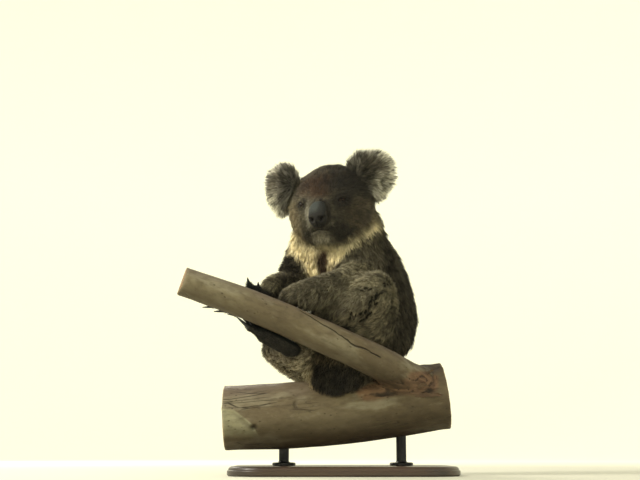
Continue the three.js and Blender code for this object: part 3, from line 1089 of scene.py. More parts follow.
def regions_of(found, labels):
    """The pieces that the coat is parted into, by name."""
    kinds = np.array([kind_of(node) for node in FLESH])[labels]
    nodes = np.array(FLESH)[labels]
    local = in_frame(found["root"], HEAD_FRAME)
    offset = found["root"] - BODY_MIDDLE
    ahead, left = offset @ BODY_FRONT, offset @ BODY_LEFT
    head, forward = np.isin(kinds, ("head", "nose")), local[:, 1] < -18
    body = np.isin(kinds, ("neck", "trunk"))
    before, behind = body & (ahead > 0), body & (ahead <= 0)
    high = offset[:, 2] > 0.06
    pieces = {
        "coat_face": head & forward,
        "coat_crown": head & ~forward,
        "coat_ear_left": nodes == "ear_left",
        "coat_ear_right": nodes == "ear_right",
        "coat_chest": before & high,
        "coat_nape": behind & high,
        "coat_belly": before & ~high,
        "coat_back_left": behind & ~high & (left > 0),
        "coat_back_right": behind & ~high & (left <= 0),
        "coat_paws": np.isin(kinds, ("hand", "foot")),
    }
    for side in SIDES:
        pieces["coat_arm_" + side] = np.isin(nodes, ("upper_arm_" + side, "forearm_" + side))
        pieces["coat_leg_" + side] = np.isin(nodes, ("thigh_" + side, "shank_" + side))
    return pieces


# How wide a lock is at its rings, against its full width, in short and in long fur.
SHORT_BENDS = (0.9, 0.85)
LONG_BENDS = (0.9, 1.0, 0.7)
LOCKS_IN_BUNDLE = 11
# A lock starts this far under the skin, and may reach this far into the bark.
ROOT_DEPTH = 0.0007
PERCH_TOUCH = 0.0012


def lay_locks(found, parted, rng):
    """Bends a lock up from every root: its start, middle and tip, its width, side and shade."""
    root, normal = found["root"], found["normal"]
    lie = flat(found["lie"], normal)
    lie = flat(lie + 0.9 * parted * flat(found["out"], normal), normal)
    count = len(root)
    leaders = rng.choice(count, max(count // LOCKS_IN_BUNDLE, 1), replace=False)
    near = search_tree(root[leaders])
    bundle = np.array([near.find(spot)[1] for spot in root])
    lead = leaders[bundle]
    bundle_tone, bundle_lift = rng.normal(size=(2, len(leaders)))
    side = np.cross(normal, lie)
    swing = np.radians(10 * noise(root, 0.028, 3) + 17 * noise(root, 0.007, 4) + rng.normal(0, 10, count))
    lie = lie * np.cos(swing)[:, None] + side * np.sin(swing)[:, None]
    length = found["length"] * MM * rng.uniform(0.72, 1.22, count) * (1 + 0.16 * noise(root, 0.014, 5))
    width = found["width"] * MM * rng.uniform(0.75, 1.25, count)
    lift = 1 + 0.20 * noise(root, 0.011, 6) + 0.24 * bundle_lift[bundle] + rng.normal(0, 0.10, count)
    steep = np.radians(found["steep"] * lift)[:, None]
    shallow = np.radians(found["shallow"] * lift)[:, None]
    first = lie * np.cos(steep) + normal * np.sin(steep)
    second = lie * np.cos(shallow) + normal * np.sin(shallow)
    way, weight = ear_ways(root, found["shares"])
    weight = weight[:, None]
    first = unit(first + weight * (way - first))
    second = unit(second + weight * (way + np.array((0, 0, -0.25)) - second))
    start = root - normal * ROOT_DEPTH
    middle = start + first * (0.45 * length)[:, None]
    tip = middle + second * (0.55 * length)[:, None]

    # Locks of one bundle lean their tips together, the more so the longer they are.
    gather = 0.34 * rise(found["length"], 5, 22)[:, None]
    gather = gather * (np.linalg.norm(tip[lead] - tip, axis=1, keepdims=True) < 0.012) * (1 - parted)
    tip = tip + gather * (tip[lead] - tip)
    middle = middle + 0.35 * gather * (middle[lead] - middle)
    late = middle + (tip - middle) * 0.5 + normal * (0.05 * length)[:, None]
    shade = 0.5 + 0.18 * rng.normal(size=count) + 0.25 * bundle_tone[bundle] + 0.18 * noise(root, 0.010, 7)
    side = unit(np.cross(normal, first))
    return np.stack((start, middle, late, tip), 1), side, width, np.clip(shade, 0, 1)


def grow_coat(skin, density, length_factor, material):
    """Grows the whole coat, as one mesh of locks for each region."""
    rng = np.random.default_rng(20)
    tree = perch_tree()
    bare = bare_of(skin, tree)
    length, width, steep, shallow, area = tuft_sizes(skin)
    fields = {"length": length * length_factor, "width": width, "steep": steep, "shallow": shallow}
    fields.update(root=skin["points"], normal=skin["normals"], lie=lie_of(skin), shares=skin["shares"])
    marks = skin["marks"]
    found = rooted(skin, {**fields, **marks}, area, bare, rng, density)
    found["normal"] = unit(found["normal"])
    away, gape, found["out"] = crease_field(found["root"], skin["creases"])
    parted = hill(away, 0, 6.5)[:, None]
    paths, side, width, shade = lay_locks(found, parted, rng)
    above = np.minimum(inside_perch(paths[:, 1], tree, 0.03), inside_perch(paths[:, 3], tree, 0.03))
    keep = (above > -PERCH_TOUCH) & (away > 0.5 * gape)
    streaky = found["ear"] * (0.25 + 1.1 * shade)
    found["white"] = np.clip(found["white"] * (1 - found["ear"] + streaky), 0, 1)
    for name, chosen in regions_of(found, found["shares"].argmax(1)).items():
        chosen = np.flatnonzero(chosen & keep)
        if not len(chosen):
            continue
        long_hair = name.startswith("coat_ear") or name == "coat_chest"
        rings = (0, 1, 2, 3) if long_hair else (0, 1, 3)
        on_head = name in ("coat_face", "coat_crown")
        turn = np.array(HEAD_FRAME.to_3x3()) if on_head else np.eye(3)
        masks = {"shade": shade[chosen], **{mask: found[mask][chosen] for mask in marks}}
        patches = unwrapped(found["root"][chosen], found["normal"][chosen], turn)
        bends = LONG_BENDS if long_hair else SHORT_BENDS
        mesh = lock_mesh(name, paths[chosen][:, rings], side[chosen], width[chosen], masks, patches, bends)
        show(name, mesh, material)


# ---- Building materials from nodes ----


class Nodes:
    """A node tree with short ways of adding to it."""

    def __init__(self, tree):
        self.tree = tree

    def feed(self, socket, value):
        """Links a socket to another one, or sets its own value."""
        if isinstance(value, bpy.types.NodeSocket):
            self.tree.links.new(value, socket)
        elif socket.type == "RGBA":
            socket.default_value = (*value[:3], 1)
        else:
            socket.default_value = value

    def add(self, kind, inputs=None, **settings):
        """Adds a node. Its inputs are sockets to link, or values to set."""
        node = self.tree.nodes.new(kind)
        for key, value in settings.items():
            setattr(node, key, value)
        for key, value in (inputs or {}).items():
            self.feed(node.inputs[key], value)
        return node

    def maths(self, operation, one, two=0.5, three=0.5):
        """A sum, product or the like of two or three values."""
        return self.add("ShaderNodeMath", {0: one, 1: two, 2: three}, operation=operation).outputs[0]

    def mix(self, factor, one, two):
        """A mix of two colours."""
        return self.add("ShaderNodeMix", {0: factor, 6: one, 7: two}, data_type="RGBA").outputs[2]

    def tint(self, mask, strength, colour, two):
        """A colour, with a second one laid over it where the mask is, at this strength."""
        return self.mix(self.maths("MULTIPLY", mask, strength), colour, two)

    def product(self, one, two):
        """Two values multiplied."""
        return self.maths("MULTIPLY", one, two)

    def added(self, one, factor, two):
        """A value times a factor, added to a second value."""
        return self.maths("MULTIPLY_ADD", one, factor, two)

    def squares(self, one, two):
        """The sum of two values' squares."""
        return self.added(one, one, self.product(two, two))

    def ramp(self, value, low, high, bottom=0.0, top=1.0):
        """A value brought from one range smoothly into another."""
        inputs = {0: value, 1: low, 2: high, 3: bottom, 4: top}
        return self.add("ShaderNodeMapRange", inputs, interpolation_type="SMOOTHSTEP").outputs[0]

    def mask(self, name):
        """A mask written on the mesh's vertices."""
        return self.add("ShaderNodeAttribute", attribute_name=name).outputs["Fac"]

    def stretched(self, where, scale):
        """A place stretched by a scale for each axis."""
        return self.add("ShaderNodeMapping", {"Vector": where, "Scale": scale}).outputs[0]

    def place(self, scale):
        """The place on the surface in metres, stretched by a scale for each axis."""
        return self.stretched(self.add("ShaderNodeNewGeometry").outputs["Position"], scale)

    def along_grain(self, run):
        """The place along and across the branch in metres, stretched by this along it."""
        parts = {index: self.mask(name) for index, name in enumerate(GRAIN_MASKS)}
        return self.stretched(self.add("ShaderNodeCombineXYZ", parts).outputs[0], (run, 1, 1))

    def cloud(self, scale, detail=3.0, roughness=0.5, stretch=(1, 1, 1), run=None):
        """Noise over the surface, with this many features to the metre."""
        where = self.along_grain(run) if run else self.place(stretch)
        inputs = {"Vector": where, "Scale": scale, "Detail": detail, "Roughness": roughness}
        return self.add("ShaderNodeTexNoise", inputs).outputs["Fac"]

    def cells(self, where, scale, feature="DISTANCE_TO_EDGE"):
        """Distances in a pattern of cells, with this many to the metre."""
        inputs = {"Vector": where, "Scale": scale}
        return self.add("ShaderNodeTexVoronoi", inputs, feature=feature).outputs["Distance"]

    def bump(self, height, distance, strength):
        """A bump of this height in metres."""
        inputs = {"Height": height, "Distance": distance, "Strength": strength}
        return self.add("ShaderNodeBump", inputs).outputs[0]


def new_group(name, inputs, outputs):
    """A shader node group with named inputs and outputs, or the one already made."""
    found = bpy.data.node_groups.get(name)
    if found:
        return found, None, None, None
    tree = bpy.data.node_groups.new(name, "ShaderNodeTree")
    for title, kind, value in inputs:
        socket = tree.interface.new_socket(title, in_out="INPUT", socket_type="NodeSocket" + kind)
        socket.default_value = (*value[:3], 1) if kind == "Color" else value
    for title, kind in outputs:
        tree.interface.new_socket(title, in_out="OUTPUT", socket_type="NodeSocket" + kind)
    nodes = Nodes(tree)
    source = nodes.add("NodeGroupInput").outputs
    target = nodes.add("NodeGroupOutput").inputs
    return tree, nodes, source, target


def new_material(name):
    """An empty material with its Principled shader."""
    material = bpy.data.materials.new(name)
    material.use_nodes = True
    tree = material.node_tree
    tree.nodes.clear()
    nodes = Nodes(tree)
    shader = nodes.add("ShaderNodeBsdfPrincipled")
    nodes.add("ShaderNodeOutputMaterial", {"Surface": shader.outputs[0]})
    return material, nodes, shader


def use(nodes, group, inputs):
    """Places a node group in a material."""
    return nodes.add("ShaderNodeGroup", inputs, node_tree=group).outputs


def finish_shader(nodes, shader, colour, roughness, normal=None, **fixed):
    """Feeds a shader its colour, roughness and normal, and sets what is the same all over."""
    for key, value in (("Base Color", colour), ("Roughness", roughness), ("Normal", normal)):
        if value is not None:
            nodes.feed(shader.inputs[key], value)
    for key, value in fixed.items():
        shader.inputs[key.replace("_", " ")].default_value = value


FUR_MASKS = ("pale", "cream", "tan", "ear", "white", "brown", "paw", "dark")
# Through the masks, the dark colour also lays painted shade, the pale one painted light on the legs, and the
# white one a painted highlight beside the nose.
FUR_COLOURS = {
    "grey": (0.120, 0.106, 0.074),
    "pale": (0.245, 0.220, 0.146),
    "tan": (0.300, 0.220, 0.115),
    "brown": (0.072, 0.038, 0.019),
    "ear": (0.120, 0.106, 0.078),
    "dark": (0.031, 0.027, 0.021),
    "paw": (0.032, 0.031, 0.028),
    "cream": (0.960, 0.835, 0.530),
    "white": (0.760, 0.730, 0.600),
}


def fur_group(colours):
    """The koala's markings, with their painted light and shade: the fur's colour from the masks on skin and
    coat alike.
    """
    inputs = [("Grey", "Color", colours["grey"])]
    for mask in FUR_MASKS:
        inputs += [(mask.title(), "Color", colours[mask]), (mask.title() + " share", "Float", 0.0)]
    inputs += [("Along", "Float", 1.0), ("Shade", "Float", 0.5), ("Deep", "Float", 0.0)]
    tree, nodes, source, target = new_group("Koala fur", inputs, [("Color", "Color")])
    if nodes is None:
        return tree
    colour = source["Grey"]
    for mask in FUR_MASKS:
        colour = nodes.mix(source[mask.title() + " share"], colour, source[mask.title()])
    along, shade = source["Along"], source["Shade"]
    fair = nodes.maths("MAXIMUM", source["Cream share"], source["White share"])
    # A lock is dark at its root, a painted shade deep in the coat, and lighter or darker than its neighbours
    # as a whole.
    painted_root_shade = nodes.ramp(fair, 0.3, 1.0, 0.32, 0.86)
    root = nodes.add("ShaderNodeMapRange", {0: along, 1: 0.0, 2: 0.6, 3: painted_root_shade, 4: 1.0}).outputs[0]
    dim, strong = nodes.ramp(fair, 0.3, 1.0, 0.62, 0.88), nodes.ramp(fair, 0.3, 1.0, 1.38, 1.10)
    bright = nodes.product(root, nodes.ramp(shade, 0.0, 1.0, dim, strong))
    # Some locks end in a light tip, others in a dark one, and fair fur shows it less.
    tips = nodes.product(nodes.ramp(along, 0.50, 0.98), nodes.ramp(fair, 0.2, 0.9, 1.0, 0.35))
    bright = nodes.added(nodes.product(tips, nodes.ramp(shade, 0.52, 0.95)), 0.95, bright)
    bright = nodes.added(nodes.product(tips, nodes.ramp(shade, 0.48, 0.10)), -0.45, bright)
    # Painted shade in the creases: the colour falls to a tenth where the crease mask is full.
    bright = nodes.product(bright, nodes.added(source["Deep"], -0.9, 1.0))
    scaled = nodes.add("ShaderNodeVectorMath", {0: colour, "Scale": bright}, operation="SCALE").outputs[0]
    nodes.tree.links.new(scaled, target["Color"])
    return tree


def fur_colour(nodes, colours, along, shade):
    """The fur group placed in a material, fed with the mesh's own masks."""
    inputs = {mask.title() + " share": nodes.mask(mask) for mask in FUR_MASKS}
    inputs = {**inputs, "Along": along, "Shade": shade, "Deep": nodes.mask("deep")}
    return use(nodes, fur_group(colours), inputs)["Color"]


def coat_material(colours):
    """Soft, dull fur with a faint sheen."""
    material, nodes, shader = new_material("Fur")
    shade = nodes.mask("shade")
    colour = fur_colour(nodes, colours, nodes.mask("along"), shade)
    rough = nodes.ramp(shade, 0.0, 1.0, 0.72, 0.92)
    fixed = {"Sheen_Weight": 0.05, "Sheen_Roughness": 0.55, "Specular_IOR_Level": 0.14}
    finish_shader(nodes, shader, colour, rough, **fixed)
    return material


def grain_group():
    """Fine pebbled grain of bare skin: cells with creases between them."""
    inputs = [("Scale", "Float", 900.0), ("Depth", "Float", 1.0)]
    tree, nodes, source, target = new_group("Skin grain", inputs, [("Height", "Float"), ("Crease", "Float")])
    if nodes is None:
        return tree
    where = nodes.place((1, 1, 1))
    pebble = nodes.ramp(nodes.cells(where, source["Scale"]), 0.0, 0.28)
    fine = nodes.add("ShaderNodeTexNoise", {"Vector": where, "Scale": source["Scale"], "Detail": 4.0})
    height = nodes.product(nodes.added(fine.outputs["Fac"], 0.35, pebble), source["Depth"])
    nodes.tree.links.new(height, target["Height"])
    nodes.tree.links.new(nodes.maths("SUBTRACT", 1.0, pebble), target["Crease"])
    return tree


def scaled_colour(colour, factor):
    """A colour made lighter or darker."""
    return [part * factor for part in colour]


def skin_material(colours, nose_colour, pad_colour):
    """Skin under the fur, and the bare nose, lids and soles."""
    material, nodes, shader = new_material("Skin")
    patches = nodes.cloud(160, 4)
    # The skin under the coat takes the locks' painted root shade.
    under = fur_colour(nodes, colours, nodes.ramp(patches, 0.2, 0.9, 0.25, 0.5), nodes.cloud(420, 3))
    grain = use(nodes, grain_group(), {"Scale": 900.0, "Depth": 1.0})
    nose, pads, painted_highlight = nodes.mask("nose"), nodes.mask("pads"), nodes.mask("nose_top")
    dark, light = scaled_colour(nose_colour, 0.75), scaled_colour(nose_colour, 1.3)
    leather = nodes.mix(nodes.cloud(70, 4), dark, light)
    # Painted highlight: pale blue-grey over the top of the nose.
    leather = nodes.mix(painted_highlight, leather, (0.058, 0.068, 0.063))
    leather = nodes.tint(grain["Crease"], 0.5, leather, (0.010, 0.009, 0.008))
    sole = nodes.mix(nodes.cloud(120, 4), pad_colour, scaled_colour(pad_colour, 1.9))
    sole = nodes.tint(grain["Crease"], 0.6, sole, (0.008, 0.008, 0.008))
    colour = nodes.mix(nodes.mask("lid_dark"), under, (0.009, 0.007, 0.006))
    colour = nodes.mix(pads, colour, sole)
    colour = nodes.mix(nose, colour, leather)
    # Painted shade: near black in the nostrils' hollows and the groove under the nose.
    colour = nodes.mix(nodes.mask("pits"), colour, (0.006, 0.005, 0.004))
    colour = nodes.mix(nodes.mask("mouth"), colour, (0.020, 0.013, 0.010))
    wet = nodes.added(grain["Crease"], 0.18, nodes.added(painted_highlight, -0.05, 0.46))
    rough = nodes.added(nose, nodes.maths("SUBTRACT", wet, 0.85), 0.85)
    rough = nodes.added(pads, -0.25, rough)
    bare = nodes.maths("MAXIMUM", nose, pads)
    height = nodes.product(grain["Height"], nodes.added(bare, 0.9, 0.1))
    finish_shader(nodes, shader, colour, rough, nodes.bump(height, 0.00034, 0.7), Specular_IOR_Level=0.20)
    return material


def eye_material(iris_colour):
    """A dark brown iris with an upright slit, under a wet surface."""
    material, nodes, shader = new_material("Eye")
    u, v = nodes.mask("iris_u"), nodes.mask("iris_v")
    radius = nodes.maths("SQRT", nodes.squares(u, v))
    around = nodes.add("ShaderNodeCombineXYZ", {0: nodes.maths("ARCTAN2", v, u), 1: radius}).outputs[0]
    spokes = nodes.add("ShaderNodeTexNoise", {"Vector": around, "Scale": 9.0, "Detail": 3.0}).outputs["Fac"]
    iris = nodes.mix(spokes, scaled_colour(iris_colour, 0.45), scaled_colour(iris_colour, 1.9))
    iris = nodes.mix(nodes.ramp(radius, 0.72, 1.0), iris, (0.010, 0.006, 0.004))
    wide = nodes.maths("DIVIDE", nodes.maths("ABSOLUTE", u), 0.22)
    high = nodes.maths("DIVIDE", nodes.maths("ABSOLUTE", v), 0.80)
    slit = nodes.ramp(nodes.squares(wide, high), 1.15, 0.8)
    colour = nodes.mix(slit, iris, (0.002, 0.002, 0.002))
    colour = nodes.mix(nodes.ramp(radius, 1.02, 1.18), colour, (0.020, 0.014, 0.010))
    rough = nodes.ramp(nodes.cloud(500), 0.3, 0.8, 0.04, 0.12)
    fixed = {"Coat_Weight": 0.16, "Coat_Roughness": 0.04, "Specular_IOR_Level": 0.06}
    finish_shader(nodes, shader, colour, rough, **fixed)
    return material


def horn_material():
    """Dark horn, paler and worn towards the tips, with fine lengthwise streaks."""
    material, nodes, shader = new_material("Claw horn")
    tip = nodes.mask("tip")
    streaks = nodes.cloud(900, 3, 0.6, (1, 1, 0.25))
    base = nodes.mix(streaks, (0.010, 0.012, 0.015), (0.042, 0.044, 0.046))
    colour = nodes.mix(nodes.ramp(tip, 0.75, 1.0), base, (0.050, 0.043, 0.034))
    rough = nodes.ramp(streaks, 0.2, 0.8, 0.38, 0.55)
    finish_shader(nodes, shader, colour, rough, nodes.bump(streaks, 0.00012, 0.5), Specular_IOR_Level=0.3)
    return material


def sawn_wood(nodes):
    """The colour of a sawn end: its rings, its darker heart and a few splits."""
    ring = nodes.added(nodes.cloud(45, 3), 0.35, nodes.mask("ring"))
    where = nodes.add("ShaderNodeCombineXYZ", {0: ring}).outputs[0]
    wave = {"Vector": where, "Scale": 1.15, "Detail": 1.0}
    bands = nodes.add("ShaderNodeTexWave", wave, wave_type="BANDS").outputs["Fac"]
    wood = nodes.mix(nodes.ramp(bands, 0.15, 0.75), (0.150, 0.085, 0.040), (0.400, 0.280, 0.160))
    wood = nodes.mix(nodes.ramp(nodes.mask("ring"), 0.5, 3.0, 0.55, 0.0), wood, (0.140, 0.070, 0.034))
    wood = nodes.mix(nodes.ramp(nodes.cloud(300, 3), 0.45, 0.75, 0.0, 0.5), wood, (0.160, 0.100, 0.052))
    return nodes.mix(nodes.mask("split"), wood, (0.030, 0.018, 0.010))


def bark_material(name, colours, streak_colour):
    """Smooth gum bark: broad soft patches, faint streaks, fine specks and cracks, and sawn ends."""
    material, nodes, shader = new_material(name)
    main, second, patch, upper, fair = colours
    patches = nodes.cloud(26, 4, 0.55, run=0.30)
    streaks = nodes.cloud(170, 5, 0.6, run=0.06)
    mottle = nodes.cloud(110, 4, 0.6, run=0.5)
    colour = nodes.mix(nodes.ramp(nodes.cloud(9, 3, 0.5, run=0.35), 0.36, 0.62), main, second)
    colour = nodes.mix(nodes.ramp(patches, 0.50, 0.64, 0.0, 0.65), colour, patch)
    colour = nodes.mix(nodes.ramp(nodes.mask("upper"), 0.0, 1.0, 0.0, 0.5), colour, upper)
    colour = nodes.mix(nodes.mask("fair"), colour, fair)
    rags = nodes.cloud(60, 5, 0.65, run=0.22)
    rust = nodes.mix(nodes.ramp(rags, 0.38, 0.62), (0.060, 0.030, 0.017), (0.190, 0.105, 0.058))
    colour = nodes.tint(nodes.mask("torn"), 0.85, colour, rust)
    colour = nodes.mix(nodes.ramp(streaks, 0.54, 0.74, 0.0, 0.30), colour, streak_colour)
    colour = nodes.mix(nodes.ramp(mottle, 0.42, 0.70, 0.0, 0.35), colour, streak_colour)
    colour = nodes.mix(nodes.ramp(mottle, 0.42, 0.28, 0.0, 0.25), colour, patch)
    cracks = nodes.cells(nodes.along_grain(0.09), 120.0)
    weathered = nodes.ramp(nodes.cloud(14, 3, run=0.5), 0.54, 0.64)
    crack = nodes.product(nodes.ramp(cracks, 0.045, 0.0), weathered)
    # The crack mask also carries the painted shadow under the knot's ridge.
    crack = nodes.maths("MAXIMUM", crack, nodes.mask("crack"))
    colour = nodes.tint(crack, 0.85, colour, (0.018, 0.013, 0.008))
    speck = nodes.cells(nodes.along_grain(0.6), 120.0, "F1")
    dots = nodes.product(nodes.ramp(speck, 0.20, 0.08), nodes.ramp(nodes.cloud(30, 2), 0.46, 0.58))
    colour = nodes.tint(dots, 0.65, colour, (0.035, 0.026, 0.017))
    # Painted shade: darker on the undersides of limb and bough.
    colour = nodes.tint(nodes.mask("under"), 0.60, colour, (0.050, 0.037, 0.022))
    colour = nodes.mix(nodes.mask("cut"), colour, sawn_wood(nodes))
    rough = nodes.ramp(patches, 0.3, 0.7, 0.62, 0.84)
    height = nodes.added(crack, -1.2, nodes.added(streaks, 0.35, nodes.product(mottle, 0.8)))
    finish_shader(nodes, shader, colour, rough, nodes.bump(height, 0.0013, 0.8), Specular_IOR_Level=0.3)
    return material


def timber_material():
    """Dark stained board with straight grain and open pores."""
    material, nodes, shader = new_material("Stained timber")
    bands = nodes.cloud(14, 4, 0.6, (0.12, 1, 1))
    fibres = nodes.cloud(340, 4, 0.7, (0.04, 1, 1))
    colour = nodes.mix(nodes.ramp(bands, 0.35, 0.65), (0.024, 0.014, 0.009), (0.066, 0.038, 0.022))
    colour = nodes.mix(nodes.ramp(fibres, 0.55, 0.75, 0.0, 0.7), colour, (0.014, 0.008, 0.005))
    rough = nodes.ramp(fibres, 0.3, 0.7, 0.34, 0.52)
    pores = nodes.bump(fibres, 0.00025, 0.5)
    finish_shader(nodes, shader, colour, rough, pores, Coat_Weight=0.2, Coat_Roughness=0.3)
    return material


def steel_material():
    """Black satin steel with faint turning marks."""
    material, nodes, shader = new_material("Black steel")
    turned_marks = nodes.cloud(1400, 2, 0.5, (0.05, 0.05, 1))
    wear = nodes.cloud(60, 4)
    colour = nodes.mix(nodes.ramp(wear, 0.45, 0.75), (0.012, 0.012, 0.013), (0.034, 0.034, 0.036))
    rough = nodes.ramp(turned_marks, 0.3, 0.7, 0.34, 0.50)
    finish_shader(nodes, shader, colour, rough, nodes.bump(turned_marks, 0.00006, 0.4), Metallic=0.7)
    return material


def stage_material(colour):
    """Pale matt paper for the floor and the backdrop; the backdrop also glows, a painted light that is no
    lamp.
    """
    material, nodes, shader = new_material("Studio paper")
    faint = nodes.cloud(8, 3)
    where = nodes.place((1, 1, 0))
    distance = nodes.add("ShaderNodeVectorMath", {0: where}, operation="LENGTH").outputs["Value"]
    upright = nodes.ramp(distance, 0.7, 2.8)
    floor = nodes.mix(faint, scaled_colour(colour, 0.76), scaled_colour(colour, 0.78))
    shade = nodes.mix(upright, floor, colour)
    # Painted light: the paper's upright part glows in its own colour.
    glow = nodes.mix(upright, (0.0, 0.0, 0.0), colour)
    nodes.tree.links.new(glow, shader.inputs["Emission Color"])
    finish_shader(nodes, shader, shade, 0.9, Emission_Strength=0.40)
    return material


# ---- Eyes and claws ----


def grid_faces(rows, columns, closed):
    """Triangles between rows of points. Closed rows run all the way round."""
    faces = []
    for row in range(rows - 1):
        for column in range(columns if closed else columns - 1):
            a, b = row * columns + column, row * columns + (column + 1) % columns
            faces += [(a, b, b + columns), (a, b + columns, a + columns)]
    return faces


def eyeball(name, side, material):
    """One eye: a ball with a clear bulge in front, and the places on its iris."""
    middle, sight, slit, up = eye_axes(SIDES[side])
    if np.cross(slit, up) @ sight < 0:
        slit = -slit
    rings, around = 40, 40
    iris = 5.4
    off_iris = 3.0
    points, us, vs = [], [], []
    for ring in range(rings + 1):
        angle = math.pi * (ring / rings) ** 1.4
        radius = EYE_RADIUS - 0.1 + 0.75 * math.exp(-((angle / 0.50) ** 2))
        for step in range(around):
            turn = 2 * math.pi * step / around
            across = math.sin(angle) * (math.cos(turn) * slit + math.sin(turn) * up)
            point = middle + radius * (across + math.cos(angle) * sight)
            points.append(point)
            us.append((point - middle) @ slit / iris if angle < 1.5 else off_iris)
            vs.append((point - middle) @ up / iris if angle < 1.5 else off_iris)
    faces = [(a, c, b) for a, b, c in grid_faces(rings + 1, around, True)]
    mesh = mesh_from(name, from_frame(np.array(points), HEAD_FRAME), faces)
    set_masks(mesh, {"iris_u": us, "iris_v": vs})
    cleaned(mesh, 1e-7)
    show(name, mesh, material, ["eye_" + side])


def build_claws(material):
    """All the claws as one piece of smooth curved horn, each thick in its digit and fine at its tip."""
    together = bmesh.new()
    masks = []
    claws = sorted(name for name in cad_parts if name.startswith("claw_"))
    for claw in claws:
        work = welded(claw, 0.0004)
        made = bpy.data.meshes.new("claw")
        work.to_mesh(made)
        work.free()
        made = modified(made, {"SUBSURF": {"levels": 2, "render_levels": 2}, "TRIANGULATE": {}})
        points = points_of(made)
        offset = points - points.mean(0)
        axis = np.linalg.svd(offset, full_matrices=False)[2][0]
        spot = offset @ axis
        low, high = spot < np.quantile(spot, 0.15), spot > np.quantile(spot, 0.85)
        thick = [np.linalg.norm(points[end] - points[end].mean(0), axis=1).mean() for end in (low, high)]
        share = (spot - spot.min()) / (spot.max() - spot.min())
        masks.append(share if thick[0] > thick[1] else 1 - share)
        together.from_mesh(made)
        bpy.data.meshes.remove(made)
    mesh = bpy.data.meshes.new("claws")
    together.to_mesh(mesh)
    together.free()
    shade_smooth(mesh)
    set_mask(mesh, "tip", np.concatenate(masks))
    show("claws", mesh, material, claws)


# ---- Perch ----

PERCH_VOXEL = 0.0028
GRAIN_MASKS = ("run", "side_u", "side_v")
# Each branch's middle line, from end to end, and its radius.
LIMB_LINE = ((-190, 10, 110), (208, 10, 150), 0.060)
BOUGH_LINE = ((-252, -156, 334), (145, -25, 175), 0.030)
# The long crack under the bough's upper edge, and the curved ridge over the limb's knot.
BOUGH_CRACK = ((-53, -133, 286), (-10, -130, 261), (10, -125, 251), (45, -116, 228), (85, -101, 209))
# Where old bark is torn off beside the fork.
TORN_BARK = ((62, -52, 158), (110, -54, 166), (168, -48, 172))
KNOT = (-134, -45, 93)
KNOT_RIDGE = ((-186, -42, 124), (-168, -46, 122), (-150, -48, 109), (-136, -46, 97))
# Each sawn end: its middle, and the way that it faces.
CUT_ENDS = (
    ((-190, 10, 110), (-1.0, 0.0, -0.03)),
    ((208, 10, 150), (0.99, 0.0, 0.13)),
    ((-252, -156, 334), (-0.93, 0.20, 0.31)),
)
FORK = (150, -20, 172)


def grain_of(points):
    """Each point's place along and across the limb or the bough, whichever it belongs to."""
    found, clear = [], []
    for one, two, radius in (LIMB_LINE, BOUGH_LINE):
        one, two = spot_at(one), spot_at(two)
        run = unit(two - one)
        across = unit(np.cross(run, (0.0, 0.0, 1.0)))
        local = (points - one) @ np.stack((run, across, np.cross(across, run)), 1)
        found.append(local)
        clear.append(np.hypot(local[:, 1], local[:, 2]) - radius)
    share = rise(clear[0] - clear[1], -0.006, 0.006)[:, None]
    return found[0] + share * (found[1] - found[0])


def near_bark_marks(points):
    """True where the bark's mesh is made finer, for its cracks and its knot."""
    lines = (BOUGH_CRACK, KNOT_RIDGE, (KNOT, (KNOT[0] + 2, KNOT[1], KNOT[2])))
    return np.min([along_line(points, line) for line in lines], axis=0) < 8


def grain_masks(points):
    """The places along and across the branch, as masks."""
    return dict(zip(GRAIN_MASKS, grain_of(points).T))


def sawn_marks(points, normals):
    """The sawn ends, their rings and splits, and where the form stays as it is, as masks."""
    cut, ring, split, pinned = np.zeros((4, len(points)))
    for spot, facing in CUT_ENDS:
        facing = unit(np.array(facing))
        offset = points - spot_at(spot)
        depth = offset @ facing
        radius = np.linalg.norm(offset - depth[:, None] * facing, axis=1)
        here = radius < 0.075
        cut = np.maximum(cut, here * (np.abs(depth) < 0.012) * rise(normals @ facing, 0.6, 0.85))
        pinned = np.maximum(pinned, here * fall(np.abs(depth), 0.004, 0.014))
        face = here & (np.abs(depth) < 0.02)
        ring = np.where(face, radius * 100, ring)
        turn = np.arctan2(offset[:, 2], offset @ np.cross(facing, (0, 0, 1)))
        line = np.abs(np.sin(2.5 * turn + 0.7)) * radius
        reach = 0.020 + 0.012 * np.sin(5 * turn)
        gap = fall(line, 0.0004, 0.0016) * fall(radius, reach, reach + 0.006)
        split = np.where(face, gap, split)
    return cut, ring, split, pinned


